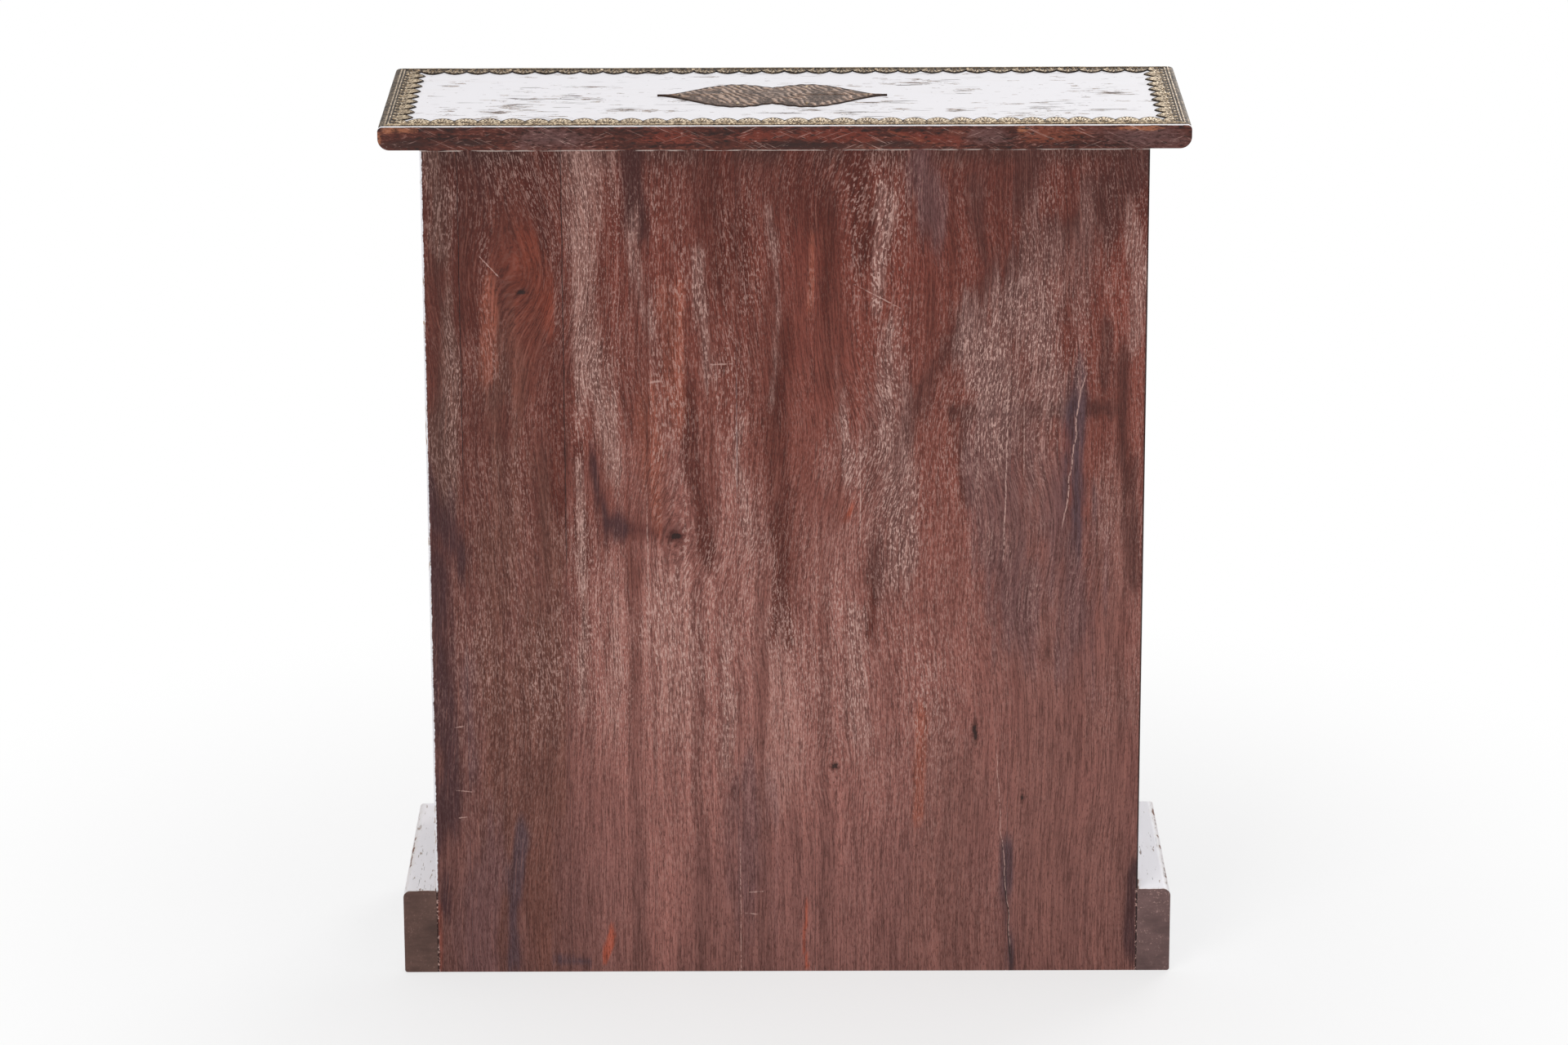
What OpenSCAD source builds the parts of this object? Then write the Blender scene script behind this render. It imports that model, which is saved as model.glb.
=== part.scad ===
// Chest of drawers: two short drawers over three long ones, on a mitred plinth.
// Solid boards, with pressed brass strips round the top and on the drawer fronts.
// Millimetres. +Z is up, -Y is the front, and the origin is under the middle of the top.

/* [Overall] */
// Width of the top board, side to side
top_w = 900; // [840:10:1000]
// Depth of the top board, front to back
top_d = 310; // [290:5:420]
// Height of the top board's upper face above the floor
total_h = 1000; // [920:5:1060]

/* [Top board] */
// Thickness of the top board
top_t = 26; // [20:1:34]
// Reach of the top past the side panels
side_overhang = 46; // [42:1:60]
// Reach of the top past the drawer fronts
front_overhang = 44; // [42:1:60]
// Radius of the nose's upper edge
nose_top_r = 5; // [3:0.5:7]
// Radius of the nose's lower edge
nose_low_r = 13; // [6:0.5:13]

/* [Carcass] */
// Thickness of the side panels
side_t = 20; // [16:1:26]
// Thickness of the back boards
back_t = 20; // [14:1:26]
// Thickness of the rails between the drawers
rail_t = 20; // [16:1:26]
// Depth of the rails, front to back
rail_d = 60; // [40:5:80]
// Height of the bottom rail
bottom_rail_h = 24; // [18:1:34]
// Thickness of the upright between the short drawers
muntin_t = 20; // [16:1:26]
// Depth that the rails are let into the side panels
housing = 6; // [3:0.5:9]
// Width of the drawer runners
runner_w = 30; // [18:1:40]
// Thickness of the drawer runners
runner_t = 18; // [12:1:20]
// Thickness of the bottom panel
bottom_panel_t = 8; // [5:1:12]
// Side of the square glue blocks
block_s = 30; // [20:1:40]
// Length of the glue blocks
block_l = 60; // [40:5:80]

/* [Plinth] */
// Height of the plinth
plinth_h = 100; // [90:1:120]
// Thickness of the plinth boards
plinth_t = 38; // [24:1:41]
// Radius of the plinth's upper outer edge
plinth_top_r = 8; // [3:0.5:12]
// Radius of the plinth's lower outer edge
plinth_low_r = 3; // [1:0.5:6]

/* [Drawers] */
// Height of the opening for the short drawers
row_1_h = 150; // [130:5:170]
// Height of the opening for the first long drawer
row_2_h = 190; // [160:5:210]
// Height of the opening for the second long drawer
row_3_h = 205; // [180:5:220]
// Thickness of the drawer fronts
front_t = 20; // [16:1:24]
// Gap beside and above each drawer front
front_gap = 2; // [1:0.25:3]
// Gap under each drawer, where it slides on its runners
slide_gap = 0.4; // [0.2:0.1:0.8]
// Gap between the drawer's side and the opening
box_gap = 3; // [3:0.25:5]
// Gap between the drawer's rear end and the back boards
rear_gap = 5; // [3:1:20]
// Thickness of the drawer sides and backs
box_t = 12; // [9:1:15]
// Drop of the drawer sides below the opening's top
side_drop = 10; // [8:1:20]
// Thickness of the drawer bottoms
base_t = 6; // [4:0.5:8]
// Height of the drawer bottom above the drawer's lower edge
base_rise = 10; // [9:0.5:14]
// Depth of the grooves and dadoes in the drawer boards
groove = 5; // [3:0.5:6]
// Play of a board in its groove
play = 0.1; // [0.05:0.05:0.3]
// Distance of the drawer's back from the rear end of its sides
back_inset = 8; // [4:1:20]
// Drop of the drawer backs below the drawer sides
back_drop = 4; // [2:1:10]
// Length of the dovetails
tail_l = 13; // [8:0.5:14]
// Width of a dovetail at its root
tail_w = 22; // [16:1:26]
// Spacing of the dovetails
tail_pitch = 46; // [42:1:60]
// Slope of the dovetails, as run for each unit of rise
tail_slope = 6; // [5:0.5:8]
// Height of the drawer stops
stop_h = 7; // [4:0.5:8]
// Width of the drawer stops
stop_w = 40; // [20:5:60]
// Depth of the drawer stops, front to back
stop_d = 14; // [10:1:20]

/* [Brass] */
// Thickness of the pressed sheet
sheet_t = 1; // [0.6:0.1:1.5]
// Height of the petals pressed up out of the sheet
petal_rise = 0.6; // [0.3:0.1:1]
// Width of the strip round the top, to the petals' tips
strip_w = 32; // [28:1:40]
// Spacing of the petals on the top's strips
strip_pitch = 26; // [22:1:32]
// Length of a petal, from the notches to its tip
lobe_l = 14; // [9:0.5:16]
// Bow of a petal's flanks, as a share of their length
petal_bow = 0.115; // [0.08:0.005:0.2]
// Radius of the two ridges along the strip
ridge_r = 0.9; // [0.5:0.05:0.95]
// Distance of the first ridge from the strip's outer edge
ridge_inset = 2.5; // [1.5:0.25:3]
// Spacing of the two ridges
ridge_step = 3.5; // [2.5:0.25:4]
// Distance of the pins from the strip's outer edge
pin_inset = 11; // [10:0.5:13]
// Bare margin between the rear strip and the rear edge
rear_margin = 7; // [5:1:12]
// Angle that the outer strips wrap down over the nose
wrap_angle = 50; // [30:5:70]
// Half length of the medallion
medallion_l = 130; // [100:5:150]
// Half width of the medallion
medallion_w = 58; // [40:2:64]
// Distance of the medallion's middle from the top's middle
medallion_x = 14; // [-20:1:20]
// Width of the strips on the drawer fronts
border_w = 18; // [14:1:22]
// Spacing of the petals on the drawer fronts' strips
border_pitch = 18; // [15:1:24]
// Length of a petal on the drawer fronts' strips
border_lobe = 9; // [6:0.5:10]
// Margin between the drawer front's edge and its strips
border_margin = 4; // [2:0.5:8]
// Gap between two strips at a mitre
mitre_gap = 0.2; // [0.1:0.1:0.6]
// Radius of a pin's shank
pin_r = 0.7; // [0.5:0.05:0.9]
// Radius of a pin's domed head
pin_head_r = 2; // [1.5:0.1:2.4]
// Spacing of the pins along the strips
pin_step = 96; // [70:2:130]

/* [Knobs] */
// Radius of the knob's head
knob_r = 15; // [12:0.5:18]
// Projection of the knob from its rosette
knob_l = 29; // [24:1:34]
// Radius of the rosette behind the knob
rosette_r = 22; // [19:0.5:26]
// Distance of a long drawer's knobs from the ends of its front
knob_inset = 165; // [120:5:220]
// Radius of the knob's screw
screw_r = 2.5; // [2:0.25:3]

/* [Hidden] */
$fn = 48;
eps = 0.5;
screw_play = 0.05;
rows = 4;
row_h = [row_1_h, row_2_h, row_3_h];
// Distances of the back boards' glued joints from the left edge, seen from behind
back_seams = [41, 156, 252, 349, 437, 544, 657];
valley = 0.8;
medallion_steps = 32;
screw_head_h = 3;
screw_head_r = 5;
top_screw_r = 2;
top_screw_l = 32;
top_screw_head_r = 4.2;
top_screw_head_h = 3;
pin_l = 7;
stop_x = 250;
knob_bore_l = knob_l * 0.6;
tail_lap = 2;

y_rear = top_d / 2;
y_front = -top_d / 2;
y_face = y_front + front_overhang;
y_inner = y_rear - back_t;
x_out = top_w / 2 - side_overhang;
x_in = x_out - side_t;
z_under = total_h - top_t;
y_rail = y_face + rail_d;
y_box = y_inner - rear_gap;
z_base = plinth_h + bottom_rail_h;
x_flat = top_w / 2 - nose_top_r;
y_flat = y_front + nose_top_r;
x_plinth = x_out + plinth_t;
y_plinth = y_face - plinth_t;

WOOD = [0.36, 0.19, 0.16];
PAINT = [0.90, 0.88, 0.86];
RAW = [0.72, 0.53, 0.36];
BRASS = [0.60, 0.50, 0.33];
STEEL = [0.62, 0.62, 0.60];

// Row k's upper and lower limits, counted from the top
function row_top(k) = k == 0 ? z_under - rail_t : row_floor(k - 1) - rail_t;
function row_floor(k) = k == rows - 1 ? z_base : row_top(k) - row_h[k];

// Each drawer's row and the two sides of its opening
openings = [
    [0, -x_in, -muntin_t / 2],
    [0, muntin_t / 2, x_in],
    [1, -x_in, x_in],
    [2, -x_in, x_in],
    [3, -x_in, x_in],
];
function is_long(d) = openings[d][0] > 0;
function floor_z(d) = row_floor(openings[d][0]) + slide_gap;
function front_top(d) = row_top(openings[d][0]) - front_gap;
function side_top(d) = row_top(openings[d][0]) - side_drop;
function box_lo(d) = openings[d][1] + box_gap;
function box_hi(d) = openings[d][2] - box_gap;
function front_lo(d) = openings[d][1] + front_gap;
function front_hi(d) = openings[d][2] - front_gap;
function knob_z(d) = (floor_z(d) + front_top(d)) / 2;
function knob_xs(d) = is_long(d)
    ? [front_lo(d) + knob_inset, front_hi(d) - knob_inset]
    : [(front_lo(d) + front_hi(d)) / 2];

// Box from its lowest corner to its highest
module block(lo, hi) translate(lo) cube(hi - lo);

// What is cut from a square corner to round it; the corner is at the origin
module corner_waste(r) {
    difference() {
        translate([-eps, -eps]) square(r + eps);
        translate([r, r]) circle(r);
    }
}

// The top's section, from x = 0 inwards, with its nose at x = 0
module nosed_section(length, both_ends) {
    difference() {
        square([length, top_t]);
        corner_waste(nose_low_r);
        translate([0, top_t]) mirror([0, 1]) corner_waste(nose_top_r);
        if (both_ends) {
            translate([length, 0]) mirror([1, 0]) corner_waste(nose_low_r);
            translate([length, top_t]) rotate(180) corner_waste(nose_top_r);
        }
    }
}

// Pin places on the top: along each strip's plain band, and on the medallion
function spread(lo, hi) =
    let (n = max(1, floor((hi - lo) / pin_step)))
    [for (i = [0 : n]) lo + (hi - lo) * i / n];
pin_xs = spread(-x_flat + 2 * pin_inset, x_flat - 2 * pin_inset);
pin_ys = spread(y_flat + 3 * pin_inset, y_rear - rear_margin - 3 * pin_inset);
strip_pins = concat(
    [for (x = pin_xs) [x, y_flat + pin_inset]],
    [for (x = pin_xs) [x, y_rear - rear_margin - pin_inset]],
    [for (y = pin_ys, s = [-1, 1]) [s * (x_flat - pin_inset), y]]
);
medallion_pins = concat(
    [for (s = [-1, 1]) [medallion_x + s * medallion_l * 0.82, 0]],
    [for (s = [-1, 1], t = [-1, 1]) [medallion_x + s * medallion_l * 0.3, t * medallion_w * 0.75]]
);
pin_spots = concat(strip_pins, medallion_pins);

top_screw_xs = [-0.8 * x_in, -0.3 * x_in, 0.3 * x_in, 0.8 * x_in];
top_screw_y = y_face + rail_d / 2;

module top_board() color(PAINT) {
    difference() {
        intersection() {
            translate([-top_w / 2, y_rear, z_under])
                rotate([90, 0, 0]) linear_extrude(top_d) nosed_section(top_w, true);
            translate([-top_w / 2, y_front, z_under])
                rotate([90, 0, 90]) linear_extrude(top_w) nosed_section(top_d, false);
        }
        for (p = pin_spots)
            translate([p.x, p.y, total_h - pin_l]) cylinder(h = pin_l + eps, r = pin_r + screw_play);
        for (x = top_screw_xs)
            translate([x, top_screw_y, z_under - eps])
                cylinder(h = top_screw_l - rail_t + 2 * eps, r = top_screw_r + screw_play);
    }
}

// Housings for the rails' ends, cut into a side panel's inner face; s is -1 left, 1 right
module rail_housings(s) {
    for (k = [0 : rows - 1])
        block([s > 0 ? x_in - eps : -x_in - housing, y_face - eps, row_top(k)],
              [s > 0 ? x_in + housing : -x_in + eps, y_rail, row_top(k) + rail_t]);
    block([s > 0 ? x_in - eps : -x_in - housing, y_face - eps, plinth_h],
          [s > 0 ? x_in + housing : -x_in + eps, y_rail, z_base]);
}

module side_panel(s) color(PAINT) {
    difference() {
        block([s > 0 ? x_in : -x_out, y_face, 0], [s > 0 ? x_out : -x_in, y_inner, z_under]);
        rail_housings(s);
    }
}

// Upright boards glued edge to edge
module back_boards() color(WOOD) {
    edges = concat([0], back_seams, [2 * x_out]);
    for (i = [0 : len(edges) - 2])
        block([x_out - edges[i + 1], y_inner, 0], [x_out - edges[i], y_rear, z_under]);
}

// The plinth board's section: its inner face is at x = 0, its outer face at x = plinth_t
module plinth_section() {
    difference() {
        square([plinth_t, plinth_h]);
        translate([plinth_t, 0]) mirror([1, 0]) corner_waste(plinth_low_r);
        translate([plinth_t, plinth_h]) rotate(180) corner_waste(plinth_top_r);
    }
}

module plinth_side(s) color(PAINT) {
    difference() {
        translate([s * x_out, y_rear, 0])
            mirror([s > 0 ? 0 : 1, 0, 0]) rotate([90, 0, 0])
            linear_extrude(y_rear - y_plinth) plinth_section();
        mitre_cut(s, -1);
    }
}

// What a mitre takes off: side -1 is the part in front of the line, 1 the part behind it
module mitre_cut(s, side) {
    reach = 2 * plinth_t;
    corner = [s * x_out, y_face];
    outer = [corner.x + s * reach, corner.y - reach];
    inner = [corner.x - s * reach, corner.y + reach];
    third = side < 0 ? [inner.x, outer.y] : [outer.x, inner.y];
    translate([0, 0, -eps]) linear_extrude(plinth_h + 2 * eps) polygon([outer, inner, third]);
}

module plinth_front() color(PAINT) {
    difference() {
        translate([-x_plinth, y_face, 0])
            rotate([90, 0, 90]) linear_extrude(2 * x_plinth)
            mirror([1, 0]) plinth_section();
        mitre_cut(-1, 1);
        mitre_cut(1, 1);
    }
}

module rail(z_lo, z_hi) {
    block([-x_in - housing, y_face, z_lo], [x_in + housing, y_rail, z_hi]);
}

module top_rail() color(PAINT) {
    difference() {
        rail(z_under - rail_t, z_under);
        for (x = top_screw_xs) translate([x, top_screw_y, z_under - rail_t]) {
            translate([0, 0, -eps]) cylinder(h = rail_t + 2 * eps, r = top_screw_r + screw_play);
            translate([0, 0, -eps]) cylinder(h = top_screw_head_h + eps, r = top_screw_head_r + screw_play);
        }
    }
}

module drawer_rail(k) color(PAINT) rail(row_floor(k) - rail_t, row_floor(k));

module bottom_rail() color(PAINT) rail(plinth_h, z_base);

module muntin() color(PAINT)
    block([-muntin_t / 2, y_face, row_floor(0)], [muntin_t / 2, y_rail, row_top(0)]);

module partition() color(RAW)
    block([-muntin_t / 2, y_rail, row_floor(0)], [muntin_t / 2, y_inner, z_under]);

// Two runners a row, and a wide one under the partition between the short drawers
module runners() color(RAW) {
    for (k = [0 : rows - 1], s = [-1, 1])
        block([s > 0 ? x_in - runner_w : -x_in, y_rail, row_floor(k) - runner_t],
              [s > 0 ? x_in : -x_in + runner_w, y_inner, row_floor(k)]);
    block([-muntin_t / 2 - runner_w, y_rail, row_floor(0) - runner_t],
          [muntin_t / 2 + runner_w, y_inner, row_floor(0)]);
}

function stop_xs(d) = is_long(d) ? [-stop_x, stop_x] : [(box_lo(d) + box_hi(d)) / 2];

module drawer_stops() color(RAW) {
    for (d = [0 : len(openings) - 1], x = stop_xs(d)) {
        z = row_floor(openings[d][0]);
        block([x - stop_w / 2, y_face + front_t + slide_gap, z],
              [x + stop_w / 2, y_face + front_t + slide_gap + stop_d, z + stop_h]);
    }
}

z_panel = z_base - runner_t;
module bottom_panel() color(RAW)
    block([-x_in, y_rail, z_panel - bottom_panel_t], [x_in, y_inner, z_panel]);

module glue_blocks() color(RAW) {
    z_hi = z_panel - bottom_panel_t;
    for (s = [-1, 1], rear = [0, 1]) {
        x_lo = s > 0 ? x_in - block_s : -x_in;
        y_lo = rear ? y_inner - block_s : y_rail;
        block([x_lo, y_lo, z_hi - block_l], [x_lo + block_s, y_lo + block_s, z_hi]);
    }
    for (s = [-1, 1])
        block([s * x_in / 3 - block_l / 2, y_inner - block_s, z_hi - block_s],
              [s * x_in / 3 + block_l / 2, y_inner, z_hi]);
}

// Pointed petal of two arcs, with its foot on y = 0; a is half its span and h its height.
// Each flank is an arc from (a, 0) to (0, h) that bows out by petal_bow of its chord.
module petal(a, h) {
    chord = sqrt(a * a + h * h);
    sag = petal_bow * chord;
    r = chord * chord / (8 * sag) + sag / 2;
    centre = [a / 2 - h * (r - sag) / chord, h / 2 - a * (r - sag) / chord];
    intersection() {
        translate(centre) circle(r);
        translate([-centre.x, centre.y]) circle(r);
        translate([-a, -valley / 2]) square([2 * a, h + valley]);
    }
}

// Keeps a strip inside its mitred ends, with half of the mitre's gap at each
module mitred_span(length, width) {
    g = mitre_gap / sqrt(2);
    polygon([[g, 0], [length - g, 0], [length - width - g, width], [width + g, width]]);
}

// Outline of a strip along +x, with its plain edge on y = 0 and the petals' tips at y = width
module strip_outline(length, width, lobe, pitch) {
    n = max(1, round(length / pitch));
    p = length / n;
    intersection() {
        union() {
            square([length, width - lobe + valley]);
            for (i = [0 : n - 1]) translate([(i + 0.5) * p, width - lobe]) petal(p / 2, lobe);
        }
        mitred_span(length, width);
    }
}

// The raised middle of each petal, a smaller one inside it
module strip_petals(length, width, lobe, pitch) {
    n = max(1, round(length / pitch));
    p = length / n;
    intersection() {
        for (i = [0 : n - 1]) translate([(i + 0.5) * p, width - lobe]) petal(p * 0.36, lobe * 0.74);
        mitred_span(length, width);
    }
}

// A round ridge along a strip, at a distance from its plain edge, that stops short of the mitres
module ridge(length, inset)
    translate([inset + ridge_r, inset, sheet_t])
        rotate([0, 90, 0]) cylinder(h = length - 2 * (inset + ridge_r), r = ridge_r);

// A pressed strip lying on z = 0
module strip(length, width, lobe, pitch) {
    linear_extrude(sheet_t) strip_outline(length, width, lobe, pitch);
    translate([0, 0, sheet_t / 2])
        linear_extrude(sheet_t / 2 + petal_rise) strip_petals(length, width, lobe, pitch);
    ridge(length, ridge_inset);
    ridge(length, ridge_inset + ridge_step);
}

// The part of a strip that folds down over the nose, along +x with the fold at y = 0
module strip_wrap(length) {
    rotate([90, 0, 90]) linear_extrude(length)
        intersection() {
            translate([0, -nose_top_r]) difference() {
                circle(nose_top_r + sheet_t);
                circle(nose_top_r);
            }
            translate([0, -nose_top_r])
                polygon([[0, 0], [0, 3 * nose_top_r],
                         3 * nose_top_r * [-sin(wrap_angle), cos(wrap_angle)]]);
        }
}

long_strip = 2 * x_flat;
side_strip = y_rear - rear_margin - y_flat;

// Round holes for the pins in whatever lies on the top
module pin_holes() {
    for (p = pin_spots)
        translate([p.x, p.y, total_h - eps])
            cylinder(h = sheet_t + petal_rise + 2 * eps, r = pin_r + screw_play);
}

module top_strip_front() color(BRASS) difference() {
    translate([-long_strip / 2, y_flat, total_h]) {
        strip(long_strip, strip_w, lobe_l, strip_pitch);
        strip_wrap(long_strip);
    }
    pin_holes();
}

module top_strip_back() color(BRASS) difference() {
    translate([long_strip / 2, y_rear - rear_margin, total_h])
        rotate(180) strip(long_strip, strip_w, lobe_l, strip_pitch);
    pin_holes();
}

module top_strip_side(s) color(BRASS) difference() {
    mirror([s > 0 ? 1 : 0, 0, 0])
        translate([-x_flat, y_rear - rear_margin, total_h]) rotate(-90) {
            strip(side_strip, strip_w, lobe_l, strip_pitch);
            strip_wrap(side_strip);
        }
    pin_holes();
}

// Half width of the medallion at t from 0 in its middle to 1 at its tip
waist = 0.68;
crest = 0.31;
taper = 0.85;
function medallion_edge(t) =
    (t < crest ? waist + (1 - waist) * sin(90 * t / crest)
               : pow(max(0, 1 + cos(180 * (t - crest) / (1 - crest))) / 2, taper))
    * (1 + 0.03 * sin(360 * 9 * t) * (1 - t));

module medallion_outline(k) {
    upper = [for (i = [-medallion_steps : medallion_steps])
        let (t = i / medallion_steps)
        [t * medallion_l * k, max(0.6, medallion_w * medallion_edge(abs(t))) * k]];
    polygon(concat(upper, [for (i = [len(upper) - 1 : -1 : 0]) [upper[i].x, -upper[i].y]]));
}

module top_medallion() color(BRASS) difference() {
    translate([medallion_x, 0, total_h]) {
        linear_extrude(sheet_t) medallion_outline(1);
        linear_extrude(sheet_t + petal_rise) medallion_outline(0.86);
    }
    pin_holes();
}

// A domed pin driven through a sheet of thickness t at p
module pin(p, t) translate([p.x, p.y, total_h + t]) {
    translate([0, 0, 1 - t - pin_l]) cylinder(h = t + pin_l - 1, r = pin_r);
    cylinder(h = pin_head_r / 2, r1 = pin_head_r, r2 = pin_head_r / 2);
}

module brass_pins() color(BRASS) {
    for (p = strip_pins) pin(p, sheet_t);
    for (p = medallion_pins) pin(p, sheet_t + petal_rise);
}

module top_screws() color(STEEL) {
    for (x = top_screw_xs) translate([x, top_screw_y, z_under - rail_t]) {
        cylinder(h = top_screw_l, r = top_screw_r);
        cylinder(h = top_screw_head_h, r = top_screw_head_r);
    }
}

// Dovetails in the plane of a drawer side, from a little behind the front's rear face forwards
function tail_n(h) = max(2, round(h / tail_pitch));
module tails(d, x_lo, x_hi, fit) {
    z0 = floor_z(d);
    h = side_top(d) - z0;
    n = tail_n(h);
    y_root = y_face + front_t;
    flare = tail_l / tail_slope;
    for (i = [0 : n - 1])
        let (z = z0 + (i + 0.5) * h / n, w = tail_w / 2 + fit)
        translate([x_lo, 0, 0]) rotate([90, 0, 90]) linear_extrude(x_hi - x_lo)
            polygon([[y_root + tail_lap, z - w], [y_root, z - w], [y_root - tail_l - fit, z - w - flare],
                     [y_root - tail_l - fit, z + w + flare], [y_root, z + w], [y_root + tail_lap, z + w]]);
}

module drawer_front(d) color(PAINT) {
    y_root = y_face + front_t;
    difference() {
        block([front_lo(d), y_face, floor_z(d)], [front_hi(d), y_root, front_top(d)]);
        tails(d, front_lo(d) - eps, box_lo(d) + box_t + play, play);
        tails(d, box_hi(d) - box_t - play, front_hi(d) + eps, play);
        block([box_lo(d) + box_t, y_root - groove - play, floor_z(d) + base_rise - play],
              [box_hi(d) - box_t, y_root + eps, floor_z(d) + base_rise + base_t + play]);
        for (x = knob_xs(d))
            translate([x, y_root + eps, knob_z(d)]) rotate([90, 0, 0])
                cylinder(h = front_t + 2 * eps, r = screw_r + screw_play);
    }
}

// A drawer side, with its dovetails, the groove for the bottom and the dado for the back
module drawer_side(d, s) color(RAW) {
    x_lo = s > 0 ? box_hi(d) - box_t : box_lo(d);
    x_hi = x_lo + box_t;
    y_root = y_face + front_t;
    g_lo = s > 0 ? x_lo - eps : x_hi - groove - play;
    g_hi = s > 0 ? x_lo + groove + play : x_hi + eps;
    difference() {
        union() {
            block([x_lo, y_root, floor_z(d)], [x_hi, y_box, side_top(d)]);
            tails(d, x_lo, x_hi, 0);
        }
        block([g_lo, y_root, floor_z(d) + base_rise - play],
              [g_hi, y_box + eps, floor_z(d) + base_rise + base_t + play]);
        block([g_lo, y_box - back_inset - box_t - play, floor_z(d) + base_rise + base_t],
              [g_hi, y_box - back_inset + play, side_top(d) + eps]);
    }
}

module drawer_back(d) color(RAW)
    block([box_lo(d) + box_t - groove, y_box - back_inset - box_t, floor_z(d) + base_rise + base_t + play],
          [box_hi(d) - box_t + groove, y_box - back_inset, side_top(d) - back_drop]);

module drawer_base(d) color(RAW) {
    y_root = y_face + front_t;
    z = floor_z(d) + base_rise;
    block([box_lo(d) + box_t - groove, y_root + play, z], [box_hi(d) - box_t + groove, y_box, z + base_t]);
    block([box_lo(d) + box_t + play, y_root - groove, z],
          [box_hi(d) - box_t - play, y_root + play + eps, z + base_t]);
}

// Turned knob's outline, radius along x and height above the rosette along y: a flat foot,
// a hollow neck and a round-edged head that is slightly domed
foot_r = knob_r * 0.86;
foot_h = knob_l * 0.08;
neck_r = knob_r * 0.42;
head_r = knob_l * 0.24;
cove_r = (knob_l - 2 * head_r - foot_h) / 2;
module knob_profile() {
    square([foot_r, foot_h]);
    difference() {
        square([neck_r + cove_r, knob_l - head_r]);
        translate([neck_r + cove_r, foot_h + cove_r]) circle(cove_r);
    }
    translate([0, knob_l - 2 * head_r]) square([knob_r - head_r, 2 * head_r - dome_h]);
    translate([knob_r - head_r, knob_l - head_r - dome_h / 2]) circle(head_r - dome_h / 2);
    intersection() {
        translate([0, knob_l - dome_r]) circle(dome_r);
        translate([0, knob_l - dome_h - head_r]) square([knob_r - head_r, dome_h + head_r]);
    }
}
dome_h = knob_l * 0.05;
dome_r = ((knob_r - head_r) * (knob_r - head_r) + dome_h * dome_h) / (2 * dome_h);

module knob() {
    difference() {
        rotate_extrude() knob_profile();
        translate([0, 0, -eps]) cylinder(h = knob_bore_l + eps, r = screw_r + screw_play);
    }
}

// Round backplate with an edge of round petals
rosette_petals = 12;
module rosette() {
    petal_r = rosette_r * sin(180 / rosette_petals) / (1 + sin(180 / rosette_petals));
    linear_extrude(sheet_t) difference() {
        union() {
            circle(rosette_r - petal_r);
            for (i = [0 : rosette_petals - 1])
                rotate(360 * i / rosette_petals) translate([rosette_r - petal_r, 0]) circle(petal_r);
        }
        circle(screw_r + screw_play);
    }
}

module drawer_knobs(d) color(BRASS) {
    for (x = knob_xs(d)) translate([x, y_face, knob_z(d)]) rotate([90, 0, 0]) {
        rosette();
        translate([0, 0, sheet_t]) knob();
        translate([0, 0, -front_t]) {
            cylinder(h = front_t + sheet_t + knob_bore_l - eps, r = screw_r);
            translate([0, 0, -screw_head_h]) cylinder(h = screw_head_h, r = screw_head_r);
        }
    }
}

// One side of a drawer front's brass frame, mitred at both ends
module border_side(length) {
    linear_extrude(sheet_t) strip_outline(length, border_w, border_lobe, border_pitch);
    ridge(length, ridge_inset);
}

module drawer_border(d) color(BRASS) {
    x_lo = front_lo(d) + border_margin;
    x_hi = front_hi(d) - border_margin;
    z_lo = floor_z(d) + border_margin;
    z_hi = front_top(d) - border_margin;
    translate([0, y_face, 0]) rotate([90, 0, 0]) {
        translate([x_lo, z_lo]) border_side(x_hi - x_lo);
        translate([x_hi, z_hi]) rotate(180) border_side(x_hi - x_lo);
        translate([x_hi, z_lo]) rotate(90) border_side(z_hi - z_lo);
        translate([x_lo, z_hi]) rotate(-90) border_side(z_hi - z_lo);
    }
}

top_board();
side_panel(-1);  // side_panel_left
side_panel(1);  // side_panel_right
back_boards();
plinth_front();
plinth_side(-1);  // plinth_left
plinth_side(1);  // plinth_right
top_rail();
drawer_rail(0);  // drawer_rail_1
drawer_rail(1);  // drawer_rail_2
drawer_rail(2);  // drawer_rail_3
bottom_rail();
muntin();
partition();
runners();
drawer_stops();
bottom_panel();
glue_blocks();
top_strip_front();
top_strip_back();
top_strip_side(-1);  // top_strip_left
top_strip_side(1);  // top_strip_right
top_medallion();
brass_pins();
top_screws();
for (d = [0 : len(openings) - 1]) {
    name = str("drawer_", d + 1);
    drawer_front(d);
    drawer_side(d, -1);
    drawer_side(d, 1);
    drawer_back(d);
    drawer_base(d);
    drawer_knobs(d);
    drawer_border(d);
}
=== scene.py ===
"""Looks of the chest of drawers: painted and stained boards, pressed brass and a studio.

Lengths are in metres, or in millimetres where a table says so. +Z is up, -Y is the front and the
photograph looks at the back.
"""
import math

import bpy
import numpy as np
from mathutils import Matrix, Vector


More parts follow.
